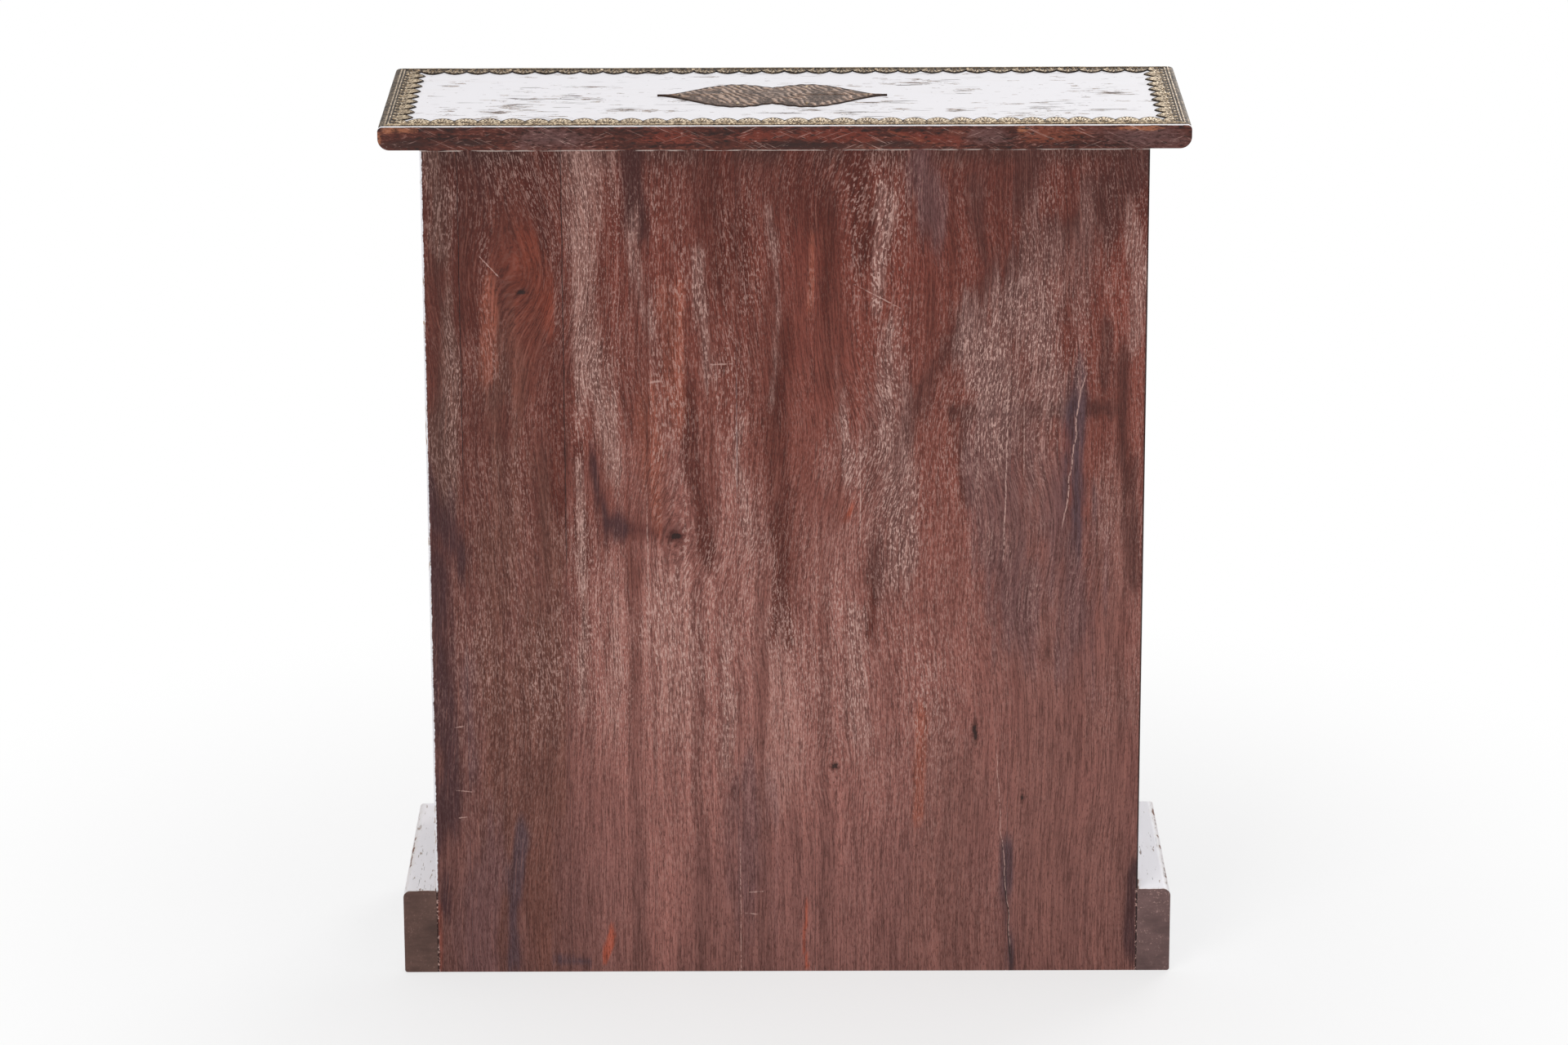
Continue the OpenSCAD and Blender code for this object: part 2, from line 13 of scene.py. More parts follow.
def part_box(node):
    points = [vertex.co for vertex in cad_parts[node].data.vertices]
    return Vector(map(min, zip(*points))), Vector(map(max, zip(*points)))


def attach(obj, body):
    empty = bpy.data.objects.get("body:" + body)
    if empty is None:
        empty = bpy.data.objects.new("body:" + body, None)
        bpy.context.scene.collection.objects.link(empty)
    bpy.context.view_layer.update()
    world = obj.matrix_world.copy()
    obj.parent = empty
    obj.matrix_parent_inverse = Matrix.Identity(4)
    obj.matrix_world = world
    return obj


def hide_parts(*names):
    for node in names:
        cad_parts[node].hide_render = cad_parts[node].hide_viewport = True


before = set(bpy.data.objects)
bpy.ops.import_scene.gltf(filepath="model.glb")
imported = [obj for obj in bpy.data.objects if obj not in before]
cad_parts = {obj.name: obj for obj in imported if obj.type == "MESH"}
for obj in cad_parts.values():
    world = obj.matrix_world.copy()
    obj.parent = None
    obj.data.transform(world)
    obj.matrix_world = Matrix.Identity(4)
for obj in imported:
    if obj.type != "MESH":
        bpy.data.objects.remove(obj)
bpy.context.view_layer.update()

# The photograph's frame and the place that its camera looks from
PHOTO_WIDTH = 1920
SENSOR = 36
EYE = Vector((0, 6, 2.321))
PITCH = math.radians(16.92)
YAW = math.radians(0.02)
ROLL = math.radians(-0.17)
FOCAL = 6630


def tint(red, green, blue):
    """A linear colour from its values on a screen, 0 to 255."""
    return tuple(((c / 255 + 0.055) / 1.055) ** 2.4 for c in (red, green, blue))


# Paint, wood and metal
WHITE_PAINT = tint(237, 235, 239)
AGED_PAINT = tint(214, 204, 199)
CRACK_TAN = tint(172, 142, 118)
CRACK_DARK = tint(66, 50, 42)
BARE_BROWN = tint(129, 90, 70)
BARE_DARK = tint(82, 54, 46)
STAIN_DARK = tint(62, 31, 27)
STAIN_FLECK = tint(204, 166, 156)
STAIN_WORN = tint(168, 112, 98)
NEAR_BLACK = tint(34, 26, 25)
JOINT_PALE = tint(214, 198, 190)
ORANGE_BROWN = tint(158, 98, 70)
RED_BROWN = tint(112, 48, 36)
WARM_RED = tint(130, 68, 50)
GREY_MAUVE = tint(102, 72, 70)
OLIVE_END = tint(90, 66, 59)
MAUVE_END = tint(105, 81, 79)
RAW_LIGHT = tint(190, 158, 125)
RAW_DARK = tint(156, 124, 95)
BRASS_LIGHT = tint(230, 212, 184)
BRASS = tint(134, 113, 88)
TARNISH = tint(28, 20, 14)
LEAF_LIGHT = tint(166, 134, 112)
LEAF_COPPER = tint(103, 80, 66)
LEAF_DARK = tint(44, 30, 24)
STEEL = (0.45, 0.45, 0.44)

# The pressed brass, as in the solids that it stands for
NOSE_R = 0.005
WRAP = math.radians(50)
STRIP_W = 0.032
STRIP_PITCH = 0.026
STRIP_LOBE = 0.014
BORDER_W = 0.018
BORDER_PITCH = 0.018
BORDER_LOBE = 0.009
PETAL_BOW = 0.115
MITRE_GAP = 0.0002
VALLEY = 0.0008
SHEET = 0.0007
EMBOSS = 0.0011
MEDALLION_L = 0.13
MEDALLION_W = 0.058
MEDALLION_X = 0.014
WAIST = 0.68
CREST = 0.31
TAPER = 0.85
# How close points are merged between petals, and dissolved at the mitres
MERGE_GAP = 0.00002
SLIVER = 0.00003

X, Y, Z = range(3)
REAR, UNDER, PLUS_X, MINUS_X = (0, 1, 0), (0, 0, -1), (1, 0, 0), (-1, 0, 0)
DRAWERS = range(1, 6)


def select(*pieces):
    """Selects only these pieces and makes the first one active."""
    bpy.ops.object.select_all(action="DESELECT")
    for piece in pieces:
        piece.select_set(True)
    bpy.context.view_layer.objects.active = pieces[0]


def metres(*lengths):
    """Lengths from a table in millimetres, as metres."""
    return tuple(length / 1000 for length in lengths)


def shaded(colour, share):
    return tuple(share * c for c in colour)


class Wire:
    """A node's output, which can be added, subtracted and multiplied like a number."""

    def __init__(self, graph, socket):
        self.graph = graph
        self.socket = socket

    def __add__(self, other):
        return self.graph.maths("ADD", self, other)

    def __sub__(self, other):
        return self.graph.maths("SUBTRACT", self, other)

    def __rsub__(self, other):
        return self.graph.maths("SUBTRACT", other, self)

    def __mul__(self, other):
        return self.graph.maths("MULTIPLY", self, other)

    __radd__ = __add__
    __rmul__ = __mul__


class Graph:
    """A node tree in the making. Most methods add one kind of node and give back its output."""

    def __init__(self, tree):
        self.tree = tree

    def new(self, kind):
        return self.tree.nodes.new("ShaderNode" + kind)

    def feed(self, socket, value):
        if isinstance(value, Wire):
            self.tree.links.new(value.socket, socket)
        elif socket.type == "RGBA":
            socket.default_value = (*value, 1)
        else:
            socket.default_value = value

    def fill(self, node, values, output=0):
        """Feeds a node's inputs, by their names or numbers, and gives back one of its outputs."""
        for key, value in values.items():
            self.feed(node.inputs[key], value)
        return Wire(self, node.outputs[output])

    def maths(self, operation, a, b=0):
        node = self.new("Math")
        node.operation = operation
        return self.fill(node, {0: a, 1: b})

    def larger(self, *values):
        total = values[0]
        for value in values[1:]:
            total = self.maths("MAXIMUM", total, value)
        return total

    def smaller(self, a, b):
        return self.maths("MINIMUM", a, b)

    def vectors(self, operation, a, values, output=0):
        node = self.new("VectorMath")
        node.operation = operation
        return self.fill(node, {0: a, **values}, output)

    def axes(self, at):
        node = self.new("SeparateXYZ")
        self.fill(node, {0: at})
        return [Wire(self, socket) for socket in node.outputs]

    def scaled(self, at, factors, shift=(0, 0, 0)):
        return self.vectors("MULTIPLY_ADD", at, {1: factors, 2: shift})

    def noise(self, at, size=1, detail=2, rough=0.5, warp=0):
        return self.fill(self.new("TexNoise"), {"Vector": at, "Scale": 1 / size, "Detail": detail,
                                                "Roughness": rough, "Distortion": warp})

    def streaks(self, at, axis, length, width, detail=2, rough=0.5, warp=0, seed=0):
        """Noise drawn out along the grain, which runs along axis."""
        factors = [1 / width] * 3
        factors[axis] = 1 / length
        drawn = self.scaled(at, factors, (seed, seed * 1.7, seed * 0.6))
        return self.noise(drawn, 1, detail, rough, warp)

    def rise(self, value, low, high):
        """0 at low, 1 at high, with soft shoulders. low may be the larger."""
        node = self.new("MapRange")
        node.interpolation_type = "SMOOTHSTEP"
        first, last = (0, 1) if low < high else (1, 0)
        return self.fill(node, {"Value": value, "From Min": min(low, high), "From Max": max(low, high),
                                "To Min": first, "To Max": last})

    def blend(self, share, a, b):
        node = self.new("Mix")
        node.data_type = "RGBA"
        return self.fill(node, {"Factor": share, 6: a, 7: b}, 2)

    def ramp(self, value, stops):
        """Colours that run into each other between (place, colour) stops."""
        node = self.new("ValToRGB")
        for i, (place, colour) in enumerate(stops):
            stop = node.color_ramp.elements[i] if i < 2 else node.color_ramp.elements.new(place)
            stop.position = place
            stop.color = (*colour, 1)
        return self.fill(node, {0: value})

    def swing(self, value, reach):
        """Noise as a change about nought, up to reach either way."""
        return (value - 0.5) * (reach * 3.2)

    def turned(self, at, angle):
        """Places turned about Y, so that a pattern slants on the back or on an edge."""
        return self.fill(self.new("Mapping"), {"Vector": at, "Rotation": (0, math.radians(angle), 0)})

    def mound(self, at, middle, reach, tilt=0):
        """1 in the middle of a patch, falling evenly to 0 at its rim."""
        node = self.new("Mapping")
        node.vector_type = "TEXTURE"
        place = self.fill(node, {"Vector": at, "Location": middle, "Rotation": (0, math.radians(tilt), 0),
                                 "Scale": reach})
        falloff = self.new("TexGradient")
        falloff.gradient_type = "SPHERICAL"
        return self.fill(falloff, {"Vector": place}, "Fac")

    def spot(self, at, x, z, wide, tall, tilt=0):
        """A patch on the back or on the top's rear edge, in millimetres, its tilt in degrees."""
        x, z, wide, tall = metres(x, z, wide, tall)
        return self.mound(at, (x, BACK_Y, z), (wide, 1, tall), tilt)

    def spots(self, at, patches, ragged):
        """1 inside any of the patches, with edges that follow the ragged noise."""
        total = self.larger(*[self.spot(at, *patch) for patch in patches])
        return self.rise(total + ragged, 0.25, 0.8) * self.rise(total, 0, 0.2)

    def edge_distance(self, at, box):
        """How far a point on a board is from the board's nearest edge."""
        a, b, c = [self.smaller(value - low, high - value)
                   for value, low, high in zip(self.axes(at), *box)]
        return self.larger(self.smaller(a, b), self.smaller(self.larger(a, b), c))

    def attribute(self, name, kind="Fac"):
        node = self.new("Attribute")
        node.attribute_name = name
        return self.fill(node, {}, kind)

    def seen(self):
        """1 for what the camera sees, also in a mirror or through glass."""
        path = self.new("LightPath")
        kinds = ("Is Camera Ray", "Is Glossy Ray", "Is Transmission Ray")
        return self.larger(*[self.fill(path, {}, kind) for kind in kinds])


class Finish(Graph):
    """A material in the making, around its own shader."""

    def __init__(self, name, roughness, metallic=0, specular=0.5):
        self.material = bpy.data.materials.new(name)
        self.material.use_nodes = True
        super().__init__(self.material.node_tree)
        self.shader = self.tree.nodes["Principled BSDF"]
        self.fill(self.shader, {"Roughness": roughness, "Metallic": metallic,
                                "Specular IOR Level": specular})
        source = self.new("TexCoord")
        self.place = self.fill(source, {}, "Object")
        self.facing = self.fill(source, {}, "Normal")

    def faces(self, direction):
        """1 where a face looks along direction."""
        return self.rise(self.vectors("DOT_PRODUCT", self.facing, {1: direction}, "Value"), 0.6, 0.8)

    def relief(self, height, depth, strength):
        bump = self.fill(self.new("Bump"), {"Strength": strength, "Distance": depth, "Height": height})
        self.fill(self.shader, {"Normal": bump})

    def done(self, colour, roughness=None):
        self.fill(self.shader, {"Base Color": colour})
        if roughness is not None:
            self.fill(self.shader, {"Roughness": roughness})
        return self.material


def bare_wood_tone(f, at, axis, light, dark, seed):
    """Planed wood: broad bands, finer fibres and short dark pores along the grain."""
    bands = f.streaks(at, axis, 0.5, 0.022, 3, 0.55, 0.6, seed)
    fibres = f.streaks(at, axis, 0.1, 0.0022, 2, 0.6, 0, seed + 3)
    pores = f.rise(f.streaks(at, axis, 0.012, 0.0007, 1, 0.5, 0, seed + 7), 0.62, 0.72)
    share = f.rise(bands, 0.3, 0.7) * 0.6 + f.rise(fibres, 0.3, 0.7) * 0.4
    colour = f.blend(share, light, dark)
    return f.blend(pores * 0.55, colour, shaded(dark, 0.45)), fibres, pores


# How far the flakes' noise is held down where the paint is sound, and how far it rises elsewhere
SOUND = 0.104
CLUSTERED = 0.08
FLAKED = 0.16


def painted_board(node, grain, bare, seed, wear, end, flaked, coarse, edge, darkness):
    """Worn white paint over brown wood.

    bare lists the directions of unpainted faces, and end makes their colour. flaked lists the places
    where the paint on top has flaked most. coarse scales the flakes' width, edge the wear along the
    edges and darkness the tone of what shows through.
    """
    f = Finish(f"white paint {node}", 0.5, specular=0.3)
    at = f.place
    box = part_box(node)
    clusters = f.rise(f.noise(f.scaled(at, (1, 1, 1), (seed, seed, seed)), 0.12, 2, 0.6), 0.5, 0.7)
    flakes = f.streaks(at, grain, 0.024, 0.004 * coarse, 4, 0.62, 0.2, seed)
    hairs = f.streaks(at, grain, 0.055, 0.0016 * coarse * coarse, 2, 0.6, 0.1, seed + 4)
    dots = f.streaks(at, grain, 0.006, 0.0036 * coarse, 3, 0.6, 0.3, seed + 5)
    more = clusters * CLUSTERED - SOUND
    for x, y, wide, deep in flaked:
        near = f.mound(at, (*metres(x, y), box[1].z), (*metres(wide, deep), 1))
        more = f.larger(more, near * FLAKED - SOUND)
    level = flakes + more + 0.02 * wear
    tan = f.rise(level, 0.59, 0.6)
    rim = (tan - f.rise(level, 0.606, 0.622)) * 0.75
    deep = f.larger(f.rise(level, 0.65, 0.668), rim)
    split = f.rise(hairs + more, 0.6, 0.63) * 0.95
    chips = f.rise(dots + more, 0.675 - 0.03 * wear, 0.705) * 0.9
    patches = f.rise(f.streaks(at, grain, 0.16, 0.022, 3, 0.6, 0.2, seed + 9), 0.5, 0.78)
    rub = f.noise(at, 0.02, 4, 0.65)
    handled = f.rise(f.noise(f.scaled(at, (1, 1, 1), (seed, 0, 0)), 0.13, 2, 0.6), 0.48, 0.66)
    distance = f.edge_distance(at, box) + (rub - 0.5) * -0.01
    distance = distance - handled * (0.0024 * edge)
    worn = f.rise(distance, 0.0012 * edge, 0.0002)
    thin = f.rise(distance, 0.006, 0.001) * (0.45 * edge)
    wood, fibres, _ = bare_wood_tone(f, at, grain, BARE_BROWN, BARE_DARK, seed)
    paint = f.blend(patches * 0.12 + 0.12 * max(0, wear - 1), WHITE_PAINT, AGED_PAINT)
    paint = f.blend(thin, paint, AGED_PAINT)
    colour = f.blend(tan * 0.65, paint, CRACK_TAN)
    dark = f.larger(deep, split, chips)
    colour = f.blend(dark * darkness, colour, CRACK_DARK)
    colour = f.blend(worn, colour, wood)
    unpainted = f.larger(*[f.faces(direction) for direction in bare])
    colour = f.blend(unpainted, colour, end(f, at) if end else wood)
    lifted = f.larger(dark, tan * 0.6, worn, unpainted)
    f.relief(fibres * 0.25 - lifted * 0.75, 0.0005, 0.8)
    return f.done(colour, f.blend(lifted, (0.46,) * 3, (0.66,) * 3))


def plinth_end(tone, speckled):
    """Dark sawn end of a plinth return: a few level streaks, clouds and pale specks."""
    def colours(f, at):
        grain = f.noise(f.scaled(at, (45, 1, 220)), 1, 4, 0.6)
        cloud = f.noise(at, 0.045, 3, 0.6)
        specks = f.noise(at, 0.0026, 3, 0.65)
        dark = f.swing(grain, 0.28) + f.swing(cloud, 0.65) + f.swing(specks, 0.14)
        colour = f.blend(f.rise(dark, -0.8, 0.9), shaded(tone, 0.62), shaded(tone, 1.45))
        pale = f.rise(specks, 0.58, 0.7) * f.rise(cloud, 0.42, 0.62)
        return f.blend(pale * speckled, colour, STAIN_FLECK)
    return colours


def rear_edge(f, at):
    """The top board's bare rear edge: dark stain, slanting pale scratches and rubbed places."""
    bands = f.streaks(at, X, 0.14, 0.007, 3, 0.6, 0.4, 3)
    flecks = f.streaks(at, X, 0.0085, 0.0024, 3, 0.7, 0.4, 5)
    rising = f.streaks(f.turned(at, 24), X, 0.045, 0.0013, 2, 0.6, 0.6, 6)
    falling = f.streaks(f.turned(at, -20), X, 0.04, 0.0013, 2, 0.6, 0.6, 7)
    cloud = f.noise(at, 0.04, 4, 0.65, 0.5)
    tone = 0.33 + f.swing(bands, 0.34) + f.swing(cloud, 0.3)
    colour = f.ramp(tone + f.swing(flecks, 0.5), EDGE_TONES)
    ragged = f.swing(cloud, 0.6) + f.swing(bands, 0.35) + f.swing(flecks, 0.3)
    for stain, share, patches in EDGE_PATCHES:
        streaked = f.spots(at, patches, ragged) * f.rise(flecks, 0.32, 0.54)
        colour = f.blend(streaked * share, colour, stain)
    scratch = f.larger(f.rise(rising, 0.64, 0.7), f.rise(falling, 0.65, 0.71))
    scratch = f.larger(scratch * 0.75, f.rise(flecks, 0.6, 0.72) * 0.55)
    colour = f.blend(scratch * f.rise(cloud, 0.25, 0.7), colour, STAIN_FLECK)
    return f.blend(f.rise(flecks, 0.43, 0.33) * 0.7, colour, NEAR_BLACK)


EDGE_TONES = ((0, tint(42, 20, 16)), (0.35, tint(80, 38, 30)), (0.65, tint(112, 60, 48)),
              (1, tint(160, 112, 98)))
# Patches on the top board's rear edge: a tone, its strength, and the middle (x, z) and the reach of
# each in millimetres, some with a tilt in degrees
EDGE_PATCHES = (
    (NEAR_BLACK, 0.75, ((412, 981, 50, 10), (350, 982, 50, 6), (-20, 979, 80, 8), (-130, 980, 50, 6))),
    (GREY_MAUVE, 0.8, ((257, 988, 80, 20), (-230, 988, 40, 20), (-395, 986, 85, 22))),
    (RED_BROWN, 0.8, ((-55, 991, 80, 14), (-150, 988, 60, 12, -8), (30, 990, 60, 10),
                      (130, 988, 70, 12))),
    (WARM_RED, 0.75, ((-295, 988, 60, 13), (-130, 990, 70, 3, -16))),
    (ORANGE_BROWN, 0.95, ((428, 997.5, 40, 6.5), (448.5, 990, 4.5, 12), (-262, 996, 10, 5),
                          (-390, 997, 40, 4))),
)
# Where the top's paint has flaked most: the middle (x, y) and the reach in millimetres
TOP_FLAKES = (
    (287, 12, 45, 12), (247, 6, 30, 30), (376, -65, 25, 20), (300, 48, 36, 34), (377, 77, 24, 40),
    (317, 80, 50, 24), (180, 72, 80, 22), (120, 72, 35, 14), (225, -52, 60, 18), (155, -130, 40, 14),
    (89, -103, 30, 14), (112, 22, 30, 20), (-30, -125, 50, 18), (-150, -70, 70, 30),
    (-204, -26, 30, 30), (-362, -130, 50, 14), (-369, -13, 40, 24), (-105, 35, 60, 18),
    (-128, 73, 50, 14), (-200, 73, 40, 12), (-73, 88, 30, 24), (-361, 77, 60, 14), (-30, 72, 50, 14),
    (10, 85, 60, 12), (-170, -120, 60, 20), (330, 20, 50, 12),
)
# The flaked places, coarse, edge and darkness of the top and of the other boards
TOP_CRACKS = (TOP_FLAKES, 1.4, 0.2, 1)
CRACKS = ((), 1, 1, 0.84)


def raw_board(name, grain, seed):
    """Bare planed wood inside the chest."""
    f = Finish(name, 0.62)
    colour, fibres, pores = bare_wood_tone(f, f.place, grain, RAW_LIGHT, RAW_DARK, seed)
    f.relief(fibres * 0.4 - pores * 0.6, 0.0003, 0.7)
    return f.done(colour)


# The back: stained boards glued edge to edge, seen from behind.
# Places are (x, z): x from the chest's middle, + at the photograph's left, and z above the floor.
BACK_LOW, BACK_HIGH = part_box("back_boards")
BACK_Y = BACK_HIGH.y
BACK_SEAMS = (0.041, 0.156, 0.252, 0.349, 0.437, 0.544, 0.657)
BOARD_TONES = (-0.12, -0.06, 0.02, 0.02, 0, 0.03, 0, 0)
# Cells along each side of a table of smooth noise
CELLS = 61


def field(x, z, wide, tall, octaves=4, seed=0):
    """Smooth noise, about -1 to 1, with lumps of the width and height asked for."""
    total = np.zeros_like(x)
    share = 0.55
    for octave in range(octaves):
        table = np.random.default_rng(97 * seed + octave).uniform(-1.6, 1.6, (CELLS, CELLS))
        u = x * 2 ** octave / wide + 100.3
        v = z * 2 ** octave / tall + 100.7
        i, j = np.floor(u).astype(int), np.floor(v).astype(int)
        p, q = u - i, v - j
        p, q = p * p * (3 - 2 * p), q * q * (3 - 2 * q)
        low = table[i % CELLS, j % CELLS] * (1 - p) + table[(i + 1) % CELLS, j % CELLS] * p
        high = table[i % CELLS, (j + 1) % CELLS] * (1 - p) + table[(i + 1) % CELLS, (j + 1) % CELLS] * p
        total += share * (low * (1 - q) + high * q)
        share *= 0.55
    return total


def nearness(x, z, run):
    """1 on a run's line and 0 at its reach. Along the grain it falls off more slowly."""
    x_a, z_a, x_b, z_b, reach = metres(*run)
    z, z_a, z_b = 0.3 * z, 0.3 * z_a, 0.3 * z_b
    along = (x - x_a) * (x_b - x_a) + (z - z_a) * (z_b - z_a)
    share = np.clip(along / ((x_b - x_a) ** 2 + (z_b - z_a) ** 2), 0, 1)
    return 1 - np.hypot(x - x_a - share * (x_b - x_a), z - z_a - share * (z_b - z_a)) / reach


def smooth(value, low, high):
    share = np.clip((value - low) / (high - low), 0, 1)
    return share * share * (3 - 2 * share)


def stain_and_shade_on(x, z, board):
    """The stain's colour at each point of the back, with painted shade under the top board, and how much
    it is rubbed.
    """
    bands = field(x + 3 * board, z, 0.016, 0.6, 4, 1)
    streaks = field(x + 3 * board, z, 0.006, 0.11, 3, 2)
    cloud = field(x, z, 0.05, 0.1, 4, 3)
    broad = field(x, z, 0.095, 0.14, 4, 11)
    ragged = 0.3 * bands + 0.28 * streaks + 0.42 * cloud + 0.14 * broad
    # the lean of the grain carries the runs with it
    lean = x + 0.01 * field(x, z, 0.1, 0.2, 2, 5) + 0.003 * field(x, z, 0.02, 0.06, 2, 6)
    # the stain from the floor up, with painted shade at the very top under the top board
    colour = np.stack([np.interp(z, STAIN_HEIGHTS, part) for part in zip(*STAIN_AND_SHADE_BY_HEIGHT)], 1)
    calm = np.interp(z, (0.15, 0.5), (0.35, 1))
    light = 1 + 0.14 * bands + 0.09 * streaks + (0.08 * cloud + 0.12 * broad) * calm
    light += np.array(BOARD_TONES)[board]
    light *= np.interp(x, STAIN_ACROSS, STAIN_BY_PLACE)
    colour = colour * light[:, None]
    rubbed = 0.4 + 0.26 * cloud + 0.2 * bands + 0.12 * streaks + 0.26 * field(x, z, 0.07, 0.16, 3, 12)
    for shade, strength, rub, one_board, runs in STAIN_RUNS:
        inside = np.zeros_like(x)
        for run in runs:
            near = nearness(lean, z, run)
            here = smooth(near + ragged, 0, 0.75) * smooth(near, -0.45, 0.15)
            if one_board:
                here = here * (board == np.searchsorted(BACK_SEAMS, BACK_HIGH.x - run[0] / 1000))
            inside = np.maximum(inside, here)
        share = (inside * strength)[:, None]
        streaked = np.array(tint(*shade)) * (1 + 0.18 * bands + 0.12 * streaks)[:, None]
        colour = colour * (1 - share) + streaked * share
        rubbed += rub * inside
    rubbed *= np.interp(z, (0, 0.22, 0.4, 0.93, 0.97), (0.06, 0.3, 1, 1, 0.6))
    return np.clip(colour, 0.004, 0.9), np.clip(rubbed, 0, 1)


def grain_on(x, z, board):
    """Where the grain's fibres run: upright, leaning a little, and turned aside at the knots."""
    calm = np.interp(z, (0, 0.35, 0.65, 1), (0.3, 0.5, 1, 1))
    across = x + 0.02 * calm * field(x, z, 0.16, 0.2, 2, 7)
    for x_mid, z_mid, reach_x, reach_z, pull in KNOT_TURNS:
        near = np.exp(-((x - x_mid) / reach_x) ** 2 - ((z - z_mid) / reach_z) ** 2)
        across = across - pull * (x - x_mid) * near
    return np.stack([across, 0.37 * board, z], 1)


def back_planks(material):
    """Eight boards glued edge to edge, each with its own tone and grain."""
    edges = [BACK_HIGH.x] + [BACK_HIGH.x - seam for seam in BACK_SEAMS] + [BACK_LOW.x]
    planks = []
    for i, (x_high, x_low) in enumerate(zip(edges, edges[1:])):
        wide, tall = x_high - x_low - 2 * GLUE_LINE, BACK_HIGH.z - BACK_LOW.z
        columns = max(6, round(wide / PLANK_CELL[0])) + 2
        rows = round(tall / PLANK_CELL[1]) + 2
        plank, co = grid(f"plank_{i}", columns, rows, 1)
        u = eased(co[:, 0] + 0.5, columns, wide)
        v = eased(co[:, 1] + 0.5, rows, tall)
        rim = (u < EASING / 2) | (u > wide - EASING / 2) | (v < EASING / 2) | (v > tall - EASING / 2)
        x, z = x_high - GLUE_LINE - u, BACK_LOW.z + v
        board = np.full(len(co), i)
        stain, rubbed = stain_and_shade_on(x, z, board)
        # the stain's colour, with the painted shade under the top board, is kept on the points
        keep(plank, "stain", np.hstack([stain, np.ones((len(co), 1))]), "FLOAT_COLOR", "color")
        keep(plank, "grain", grain_on(x, z, board), "FLOAT_VECTOR", "vector")
        keep(plank, "rubbed", rubbed)
        dip = 0.00012 * (1 + field(x, z, 0.05, 0.3, 2, 20 + i)) * 0.8 + PLANK_STEPS[i]
        write_points(plank, np.stack([u, v, np.where(rim, -EASING, -dip)], 1))
        close_underside(BACK_LOW.y - BACK_HIGH.y)
        lay(plank, (x_high - GLUE_LINE, BACK_HIGH.y, BACK_LOW.z), (-1, 0, 0), (0, 0, 1))
        planks.append(plank)
    back = joined(planks, "back_planks")
    dress(back, material, 30)
    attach(back, "carcass")
    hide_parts("back_boards")


def eased(share, count, length):
    """Places along a plank whose first and last cells are as narrow as its eased edge."""
    step = np.rint(share * count)
    inner = EASING + (step - 1) * (length - 2 * EASING) / (count - 2)
    return np.where(step == 0, 0, np.where(step == count, length, inner))


def stained_back():
    """Fine grain over the planks' own stain, with its painted shade under the top board: pale rubbed
    flecks, dark pores, knots and cracks.
    """
    f = Finish("stained back boards", 0.5, specular=0.18)
    flat = f.place
    x, _, z = f.axes(flat)
    at = f.attribute("grain", "Vector")
    rubbed = f.attribute("rubbed")
    # the planks' stain, with its painted shade under the top board
    colour = f.attribute("stain", "Color")
    fibres = f.streaks(at, Z, 0.07, 0.002, 3, 0.65, 0, 8)
    flecks = f.streaks(at, Z, 0.0052, 0.0013, 2, 0.6, 0.1, 1)
    strokes = f.streaks(at, Z, 0.02, 0.0011, 2, 0.6, 0, 4)
    shade = f.rise(fibres + (strokes - 0.5) * 0.6, 0.62, 0.32)
    colour = f.blend(shade * 0.45, colour, STAIN_DARK)
    colour = f.blend(f.rise(fibres, 0.52, 0.75) * 0.28, colour, STAIN_WORN)
    pale = f.larger(f.rise(flecks, 0.54, 0.62), f.rise(strokes, 0.57, 0.66) * 0.8)
    colour = f.blend(pale * (rubbed * 0.9 + 0.05), colour, STAIN_FLECK)
    pores = f.larger(f.rise(flecks, 0.44, 0.34), f.rise(strokes, 0.42, 0.33))
    colour = f.blend(pores * 0.5, colour, STAIN_DARK)
    ragged = f.swing(f.noise(flat, 0.005, 3, 0.6), 0.35)
    for *patch, heart in KNOTS:
        spot = f.spot(flat, *patch)
        inside, near = f.rise(spot, 0, 0.15), spot + ragged
        ring = f.rise(near, heart - 0.35, heart) * inside
        colour = f.blend(ring * 0.5, colour, STAIN_DARK)
        core = f.rise(near, heart, heart + 0.15) * inside
        colour = f.blend(core * 0.8, colour, NEAR_BLACK)
    wander = f.noise(f.scaled(flat, (0, 0, 1)), 0.05, 3) - 0.5
    dark_line = lines(f, x, z, wander, DARK_LINES) * f.rise(fibres, 0.25, 0.5)
    colour = f.blend(dark_line * 0.75, colour, NEAR_BLACK)
    pale_line = lines(f, x, z, wander, PALE_LINES) * f.rise(flecks, 0.35, 0.55)
    colour = f.blend(pale_line * 0.75, colour, STAIN_FLECK)
    for patch in SCRATCHES:
        spot = f.spot(flat, *patch)
        line = f.rise(spot + ragged * 2.2, 0.2, 0.7) * f.rise(spot, 0, 0.15)
        colour = f.blend(line * 0.6, colour, STAIN_FLECK)
    colour = lapped_paint(f, flat, x, z, colour)
    # a broken pale line where the boards meet the top
    gap = f.streaks(flat, X, 0.02, 0.002, 3, 0.6, 0, 12)
    joint = f.rise(z, BACK_HIGH.z - 0.0018, BACK_HIGH.z - 0.001) * f.rise(gap, 0.4, 0.56)
    colour = f.blend(joint * 0.55, colour, JOINT_PALE)
    f.relief(fibres * 0.5 + flecks * 0.6 - pores * 0.4 - dark_line, 0.0004, 0.8)
    return f.done(colour, 0.38 + (rubbed + flecks) * 0.16)


